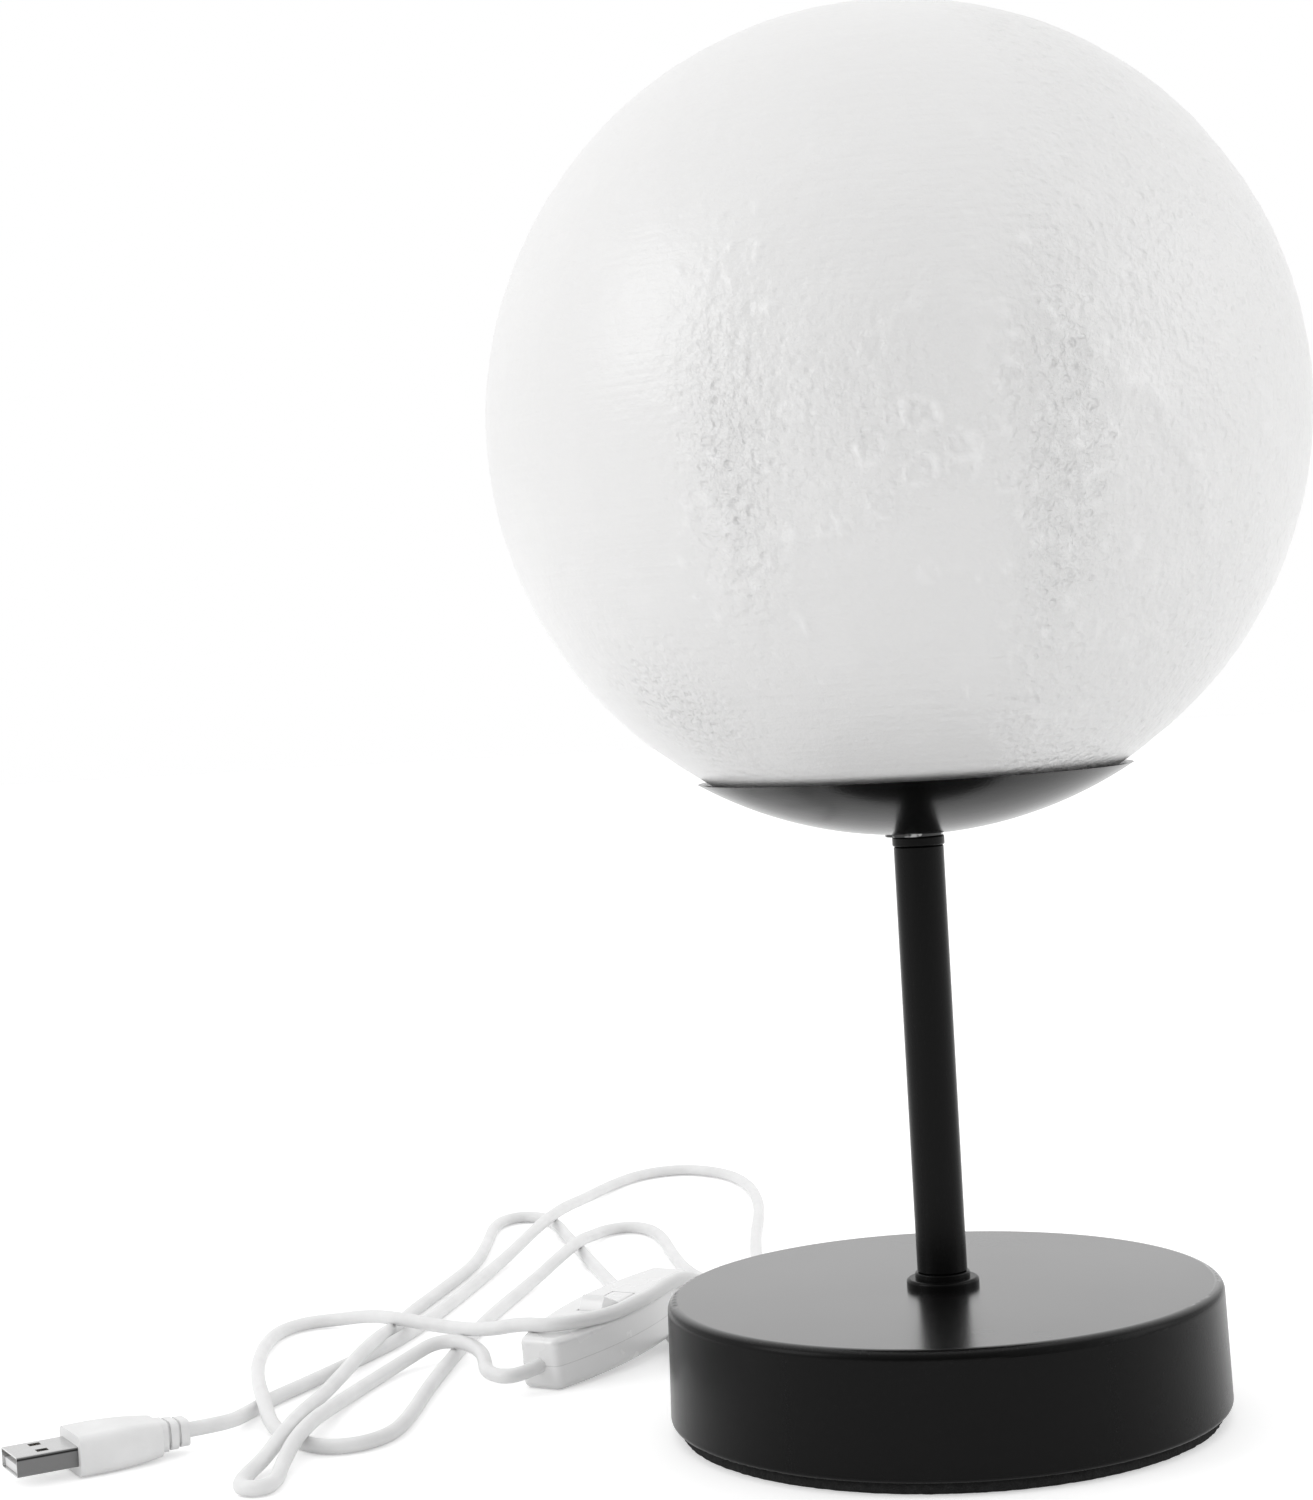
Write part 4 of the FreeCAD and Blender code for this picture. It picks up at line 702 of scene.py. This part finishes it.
def effect(tree, group, output, **inputs):
    """Place a shared effect in a material and return one of its outputs."""
    node = tree.nodes.new("ShaderNodeGroup")
    node.node_tree = group
    for name, value in inputs.items():
        node.inputs[name].default_value = value
    return node.outputs[output]


def new_finish(name, **fixed):
    """A material with its main shader, whose plain numbers are set on the shader itself."""
    material = bpy.data.materials.new(name)
    material.use_nodes = True
    shader = material.node_tree.nodes["Principled BSDF"]
    for label, value in fixed.items():
        shader.inputs[label.replace("_", " ")].default_value = value
    return material, material.node_tree, shader


# %% [markdown]
# ## Printed white
# The globe is printed in thin layers from a white plastic that lets some light through. Low
# ground is painted a little grey and raised rims a little whiter: painted shade and painted
# highlight, standing in for the glints that rims catch. What is too fine for the mesh is bump:
# pits and lumps a millimetre or two wide where the ground is rough, long level streaks left by the
# layers, and a fine grain. The plastic is satin, so each lump catches the light.

# %% Printed white


def finish_printed_white():
    """Grey to white by height, as painted shade in low ground and painted highlight on raised
    ground, and by blotches; and a bump of 1.5 (lumps + pits) strength + 0.22 streaks + 0.03 grain."""
    material, tree, shader = new_finish(
        "printed_white", Roughness=0.31, Subsurface_Weight=0.1, Subsurface_Scale=0.001)
    shader.inputs["Subsurface Radius"].default_value = (1.0, 0.97, 0.94)
    point = object_point(tree)
    relief = add(tree, "Attribute", {"attribute_name": "relief"}).outputs["Fac"]
    strength = add(tree, "Attribute", {"attribute_name": "strength"}).outputs["Fac"]
    # Raised ground is painted whiter and low ground greyer: painted highlight and painted shade
    # for the glints on rims.
    high = span(tree, relief, 0.05, 0.5, 0.0, 1.0)
    blotch = effect(tree, UNEVENNESS, "Tone", Scale=22.0, Amount=0.5)
    colour = blend(tree, sums(tree, "ADD", high, blotch), grey(0.835, 0.003), grey(0.91, 0.002))
    feed(shader, "Base Color", colour)
    pitted = add(tree, "TexVoronoi", {"feature": "SMOOTH_F1"}, {"Vector": point, "Scale": 420.0})
    pits = span(tree, pitted.outputs["Distance"], 0.05, 0.42, 0.0, 0.5)
    lumps = noise(tree, point, 740.0, 3.0)
    rough = sums(tree, "MULTIPLY", sums(tree, "ADD", lumps, pits), strength)
    squeezed = add(tree, "Mapping", sockets={"Vector": point, "Scale": (1.0, 1.0, 12.0)})
    streaks = noise(tree, squeezed.outputs[0], 70.0, 4.0)
    grain = effect(tree, GRAIN, "Height", Scale=1500.0)
    layered = sums(tree, "MULTIPLY", streaks, 0.22)
    height = sums(tree, "ADD", sums(tree, "MULTIPLY", rough, 1.5), layered)
    height = sums(tree, "ADD", height, sums(tree, "MULTIPLY", grain, 0.03))
    feed(shader, "Normal", bump(tree, height, 0.7 * MM))
    return material


printed_white = finish_printed_white()
moon.data.materials.append(printed_white)
print(printed_white.name, "has", len(printed_white.node_tree.nodes), "nodes")

# %% [markdown]
# ## Satin black
# The dish, stem and base are steel under a thin satin black paint. It is close to black when
# seen straight on, and mirrors the bright room when seen at a slant: that is why the sides of
# the stem and base have pale edges. A low index of refraction gives that fall-off. On the level
# top of the base the paint could flow out before it dried, so there a second, glossier layer
# joins in. A grain a fraction of a millimetre wide keeps every mirror image soft.

# %% Satin black


def finish_satin_black(name, roughness, dust, flowed_out=False):
    """Near black, with uneven gloss and dust where it faces up. flowed_out adds the glossier
    layer on level faces."""
    material, tree, shader = new_finish(name, IOR=1.2, Coat_IOR=1.5, Coat_Roughness=0.22)
    tone = effect(tree, UNEVENNESS, "Tone", Scale=26.0, Amount=0.09)
    feed(shader, "Roughness", sums(tree, "ADD", tone, roughness))
    settled = effect(tree, DUST, "Mask", Amount=dust)
    colour = blend(tree, settled, grey(0.0035), grey(0.32, 0.01))
    feed(shader, "Base Color", colour)
    if flowed_out:
        feed(shader, "Coat Weight", facing_up(tree, 0.6, 0.97, 0.9))
    grain = effect(tree, GRAIN, "Height", Scale=1700.0)
    feed(shader, "Normal", bump(tree, grain, 0.008 * MM))
    return material


def finish_nodes(material, names):
    """Put a finish in every material slot of the named solids."""
    for name in names:
        for place in nodes[name].material_slots:
            place.material = material
    print(material.name, "on", ", ".join(names))


finish_nodes(finish_satin_black("satin_black_base", 0.26, 0.12, flowed_out=True), ["base_cover"])
finish_nodes(finish_satin_black("satin_black_stem", 0.24, 0.0),
             ["stem_tube", "stem_collar", "stem_ferrule"])
finish_nodes(finish_satin_black("satin_black_dish", 0.16, 0.05), ["cup"])

# %% [markdown]
# ## Foam, iron, plate and rubber
# The pad is closed-cell foam: thousands of tiny cells, cut open at the rim, with a few pale
# threads of lint caught on it. The ballast is raw cast iron, and the plate that closes the base
# is plain black. The grommet and the clamp inside are rubber.

# %% Dark finishes that are not coated


def finish_foam():
    """Dark blotches, with pale lint on a few small spots. The bump is 1.5 times the blotches,
    plus the distance from the middle of the nearest cell."""
    material, tree, shader = new_finish("black_foam", Roughness=0.95)
    shader.inputs["Specular IOR Level"].default_value = 0.2
    point = object_point(tree)
    cells = add(tree, "TexVoronoi", sockets={"Vector": point, "Scale": 2600.0})
    wide = noise(tree, point, 700.0, 3.0)
    specks = add(tree, "TexVoronoi", sockets={"Vector": point, "Scale": 210.0})
    lint = span(tree, specks.outputs["Distance"], 0.03, 0.075, 1.0, 0.0)
    patches = span(tree, noise(tree, point, 130.0, 0.0), 0.6, 0.64, 0.0, 1.0)
    lint = sums(tree, "MULTIPLY", lint, patches)
    shade = blend(tree, wide, grey(0.010), grey(0.034))
    feed(shader, "Base Color", blend(tree, lint, shade, grey(0.35)))
    blotches = sums(tree, "MULTIPLY", wide, 1.5)
    rough = sums(tree, "ADD", cells.outputs["Distance"], blotches)
    feed(shader, "Normal", bump(tree, rough, 0.18 * MM))
    return material


def finish_rough(name, colour, roughness, scale, depth, metallic=0.0):
    """Any plain finish whose surface is grainy: cast iron, rubber, vinyl, moulded plastic. The
    grain has scale cells in a metre and is depth metres high."""
    material, tree, shader = new_finish(name, Metallic=metallic)
    tone = effect(tree, UNEVENNESS, "Tone", Scale=60.0, Amount=0.14)
    feed(shader, "Roughness", sums(tree, "ADD", tone, roughness))
    shade = effect(tree, UNEVENNESS, "Tone", Scale=140.0, Amount=1.6)
    mask = sums(tree, "ADD", shade, 0.5)
    toned = blend(tree, mask, darker(colour, 0.9), colour)
    feed(shader, "Base Color", toned)
    grain = effect(tree, GRAIN, "Height", Scale=scale)
    feed(shader, "Normal", bump(tree, grain, depth))
    return material


foam.data.materials.append(finish_foam())
finish_nodes(finish_rough("ballast_iron", grey(0.14), 0.7, 500.0, 0.2 * MM, 0.4), ["ballast_disc"])
finish_nodes(finish_rough("black_plate", grey(0.03), 0.5, 1500.0, 0.01 * MM), ["bottom_plate"])
finish_nodes(finish_rough("black_rubber", grey(0.022), 0.62, 1800.0, 0.02 * MM),
             ["cord_grommet", "lead_clamp"])

# %% [markdown]
# ## White plastics and the cord
# The cord's vinyl jacket is satin, with the faint unevenness of a drawn skin. The switch is
# moulded in a harder, glossier plastic: its two halves meet on a fine line half way up, which is
# drawn here by the distance from that plane in the switch's own frame. The light's holder is a
# satin moulding, and its board is coated white.

# %% The switch's glossy white


def own_point(tree, matrix):
    """The point in a piece's own frame: a Mapping node of the kind that undoes a placement."""
    place = {"Location": tuple(matrix.translation), "Rotation": tuple(matrix.to_euler("XYZ"))}
    sockets = {"Vector": object_point(tree), **place}
    return add(tree, "Mapping", {"vector_type": "TEXTURE"}, sockets).outputs[0]


def finish_gloss_white():
    """Clean white with a sunk grey line where the height in the switch's frame is the split's."""
    material, tree, shader = new_finish("gloss_white", Coat_Weight=0.3, Coat_Roughness=0.08)
    tone = effect(tree, UNEVENNESS, "Tone", Scale=90.0, Amount=0.16)
    feed(shader, "Roughness", sums(tree, "ADD", tone, 0.26))
    local = add(tree, "SeparateXYZ", sockets={0: own_point(tree, switch_frame)})
    from_split = sums(tree, "ABSOLUTE", sums(tree, "SUBTRACT", local.outputs["Z"], SWITCH_SPLIT))
    seam = span(tree, from_split, 0.04 * MM, 0.14 * MM, 1.0, 0.0)
    body = blend(tree, effect(tree, UNEVENNESS, "Tone", Scale=70.0, Amount=1.0),
                 grey(0.87), grey(0.84))
    feed(shader, "Base Color", blend(tree, seam, body, grey(0.68)))
    grain = effect(tree, GRAIN, "Height", Scale=900.0)
    sunk = sums(tree, "SUBTRACT", sums(tree, "MULTIPLY", grain, 0.05), seam)
    feed(shader, "Normal", bump(tree, sunk, 0.03 * MM))
    return material


finish_nodes(finish_gloss_white(), ["switch_base", "switch_cover", "switch_rocker"])

# %% Cords, holder and board
vinyl = finish_rough("white_vinyl", grey(0.88), 0.4, 1300.0, 0.012 * MM)
lamp_cord.data.materials.append(vinyl)
plug_cord.data.materials.append(vinyl)
finish_nodes(vinyl, ["usb_grip", "usb_strain_relief", "switch_leads", "inner_lead"])
finish_nodes(finish_rough("white_plastic", grey(0.84), 0.45, 1200.0, 0.01 * MM),
             ["light_holder", "rocker_plunger", "usb_insulator"])
finish_nodes(finish_rough("board_white", grey(0.74), 0.3, 900.0, 0.008 * MM), ["light_board"])

# %% [markdown]
# ## Metals
# The plug's shell is nickel on rolled steel, drawn out along the plug, so its grain is noise
# stretched that way. Its narrow sides are rougher and painted darker, as painted shade for the dim
# reflection they show, with a dark line along them near the top. The nuts, rods and screws are
# zinc plated, and the contacts are brass. The washer under the dish is dark oiled steel that has
# worn bright in places.

# %% Zinc and brass
upright = placed((0, 0, 0), 0.0)


def draw_metal(tree, shader, colour, roughness, frame_of_piece, stretch):
    """Noise stretched along X of a frame, in colour, gloss and bump. Returns the colour."""
    drawn = add(tree, "Mapping", sockets={
        "Vector": own_point(tree, frame_of_piece), "Scale": (1 / stretch, 1, 1)})
    lines = noise(tree, drawn.outputs[0], 2400.0)
    uneven = span(tree, lines, 0.3, 0.7, roughness - 0.05, roughness + 0.07)
    feed(shader, "Roughness", uneven)
    shade = blend(tree, lines, darker(colour, 0.86), colour)
    feed(shader, "Base Color", shade)
    feed(shader, "Normal", bump(tree, lines, 0.006 * MM))
    return shade


def finish_metal(name, colour, roughness, frame_of_piece, stretch):
    """Rolled or plated metal."""
    material, tree, shader = new_finish(name, Metallic=1.0)
    draw_metal(tree, shader, colour, roughness, frame_of_piece, stretch)
    return material


zinc = finish_metal("zinc_steel", grey(0.6, 0.01), 0.34, upright, 3)
finish_nodes(zinc, ["base_star_washer", "base_nut", "lower_rod", "upper_rod", "cup_star_washer",
                    "cup_nut", "holder_nut", "board_screws", "globe_screws", "switch_screws"])
brass = finish_metal("contact_brass", (0.78, 0.6, 0.27, 1.0), 0.3, switch_frame, 8)
finish_nodes(brass, ["contact_blade", "switch_terminals", "usb_contacts"])

# %% The plug's shell and the washer
# Where the shell's narrow sides begin, from its middle, and the height of the line on them.
PLUG_SIDE, PLUG_LINE = 5.7 * MM, 1.65 * MM


def finish_plug_steel():
    """Rolled steel whose narrow sides, where |y| is over PLUG_SIDE in the plug's frame, are
    rougher, painted darker as painted shade, and carry a dark line at the height of PLUG_LINE."""
    material, tree, shader = new_finish("plug_steel", Metallic=1.0)
    shade = draw_metal(tree, shader, grey(0.66), 0.3, plug_frame, 14)
    local = add(tree, "SeparateXYZ", sockets={0: own_point(tree, plug_frame)})
    aside = sums(tree, "ABSOLUTE", local.outputs["Y"])
    on_side = span(tree, aside, PLUG_SIDE, PLUG_SIDE + 0.15 * MM, 0.0, 1.0)
    off_line = sums(tree, "ABSOLUTE", sums(tree, "SUBTRACT", local.outputs["Z"], PLUG_LINE))
    near_line = span(tree, off_line, 0.12 * MM, 0.3 * MM, 1.0, 0.0)
    line = sums(tree, "MULTIPLY", near_line, on_side)
    # The narrow sides' colour is painted darker: painted shade for the dim reflection they show.
    sides_painted_darker = blend(tree, on_side, shade, grey(0.19))
    feed(shader, "Base Color", blend(tree, line, sides_painted_darker, grey(0.03)))
    feed(shader, "Roughness", span(tree, on_side, 0.0, 1.0, 0.26, 0.5))
    return material


def finish_washer():
    """Dark oiled steel, bright where a slow noise is high."""
    material, tree, shader = new_finish("dark_washer", Metallic=1.0)
    shade = draw_metal(tree, shader, grey(0.07), 0.4, upright, 1)
    patches = span(tree, noise(tree, object_point(tree), 420.0), 0.58, 0.66, 0.0, 1.0)
    feed(shader, "Base Color", blend(tree, patches, shade, grey(0.5)))
    return material


finish_nodes(finish_plug_steel(), ["usb_shell"])
finish_nodes(finish_washer(), ["stem_washer"])

# %% [markdown]
# ## The light chips
# Each light chip is a white package with a yellow lens on top. One solid holds them all, so the
# height of a point tells lens from package.

# %% Light chips
_, (_, _, LENS_TOP) = box_in_mm("light_chips")
LENS_HEIGHT = 0.15
CHIP_TOP = (LENS_TOP - LENS_HEIGHT) * MM


def finish_chips():
    """White package: yellow where the height is that of the lens on top of the package."""
    material, tree, shader = new_finish("chip_yellow", Roughness=0.35)
    height = add(tree, "SeparateXYZ", sockets={0: object_point(tree)}).outputs["Z"]
    lens = span(tree, height, CHIP_TOP - 0.02 * MM, CHIP_TOP + 0.02 * MM, 0.0, 1.0)
    grain = effect(tree, GRAIN, "Height", Scale=4000.0)
    speckled = sums(tree, "MULTIPLY", lens, span(tree, grain, 0.0, 1.0, 0.85, 1.0))
    colour = blend(tree, speckled, grey(0.78), (0.82, 0.66, 0.16, 1.0))
    feed(shader, "Base Color", colour)
    return material


finish_nodes(finish_chips(), ["light_chips"])

# %% [markdown]
# ## Floor, room and lamps
# The lamp was photographed in a white tent: bright walls to both sides, above and behind, and a
# darker opening where the camera stands. The world is that tent: the camera sees plain white, a
# mirror sees the opening darker, and what lights the scene is dimmer than both. The floor gives
# off a little light that only the camera and mirrors see, so that its shadows stay while its far
# edge melts into the background. Two large soft lamps give the globe its roundness.

# %% Floor
# It reaches this far from the lamp, and lies a tenth of a millimetre under it.
REACH, UNDER = 6.0, -0.1 * MM
corners = [(x * REACH, y * REACH, UNDER) for x, y in ((-1, -1), (1, -1), (1, 1), (-1, 1))]
floor_mesh = bpy.data.meshes.new("floor")
floor_mesh.from_pydata(corners, [], [(0, 1, 2, 3)])
floor = bpy.data.objects.new("floor", floor_mesh)
scene.collection.objects.link(floor)


def seen_directly(tree):
    """1 for rays from the camera, a mirror or glass, and 0 for light that lights the scene."""
    rays = add(tree, "LightPath").outputs
    mirrored = sums(tree, "MAXIMUM", rays["Is Glossy Ray"], rays["Is Transmission Ray"])
    return sums(tree, "MAXIMUM", rays["Is Camera Ray"], mirrored)


def finish_floor():
    """Pale and matt, with the little light of its own that is only seen directly."""
    material, tree, shader = new_finish("pale_floor", Roughness=0.7, Base_Color=grey(0.84))
    glow = blend(tree, seen_directly(tree), grey(0.0), grey(0.42))
    feed(shader, "Emission Color", glow)
    shader.inputs["Emission Strength"].default_value = 1.0
    return material


floor_mesh.materials.append(finish_floor())
print("floor:", 2 * REACH, "m wide")

# %% The tent
world = bpy.data.worlds.new("white_tent")
scene.world = world
world.use_nodes = True
tent = world.node_tree
direction = add(tent, "SeparateXYZ", sockets={0: add(tent, "TexCoord").outputs["Generated"]})
walls = span(tent, direction.outputs["Y"], -0.85, 0.05, 0.68, 0.92)
roof = span(tent, direction.outputs["Z"], 0.2, 0.9, 0.0, 0.11)
lighting = sums(tent, "ADD", walls, roof)
mirrored = span(tent, direction.outputs["Y"], -0.95, -0.35, 0.10, 1.0)
rays = add(tent, "LightPath").outputs
straight = sums(tent, "MAXIMUM", rays["Is Camera Ray"], rays["Is Transmission Ray"])
shown = sums(tent, "MAXIMUM", mirrored, straight)
strengths = {0: seen_directly(tent), 2: lighting, 3: shown}
level = add(tent, "Mix", {"data_type": "FLOAT"}, strengths).outputs[0]
background = tent.nodes["Background"]
background.inputs["Color"].default_value = (1, 1, 1, 1)
feed(background, "Strength", level)
print("tent:", len(tent.nodes), "nodes")

# %% Two soft lamps
LAMP_AIM, LAMP_SIZE = Vector((0, 0, 0.18)), 0.9


def soft_lamp(name, place, power):
    """A square lamp of so many watts that looks at the middle of the object."""
    light = bpy.data.lights.new(name, "AREA")
    light.shape = "SQUARE"
    light.size = LAMP_SIZE
    light.energy = power
    lamp = bpy.data.objects.new(name, light)
    aim = (LAMP_AIM - Vector(place)).to_track_quat("-Z", "Y").to_matrix().to_4x4()
    lamp.matrix_world = Matrix.Translation(place) @ aim
    scene.collection.objects.link(lamp)
    print(name, "at", place, "with", power, "W")


soft_lamp("left_lamp", (-1.6, -0.6, 1.0), 6.5)
soft_lamp("right_lamp", (1.7, 0.0, 0.8), 3.5)
scene.view_settings.view_transform = "Standard"
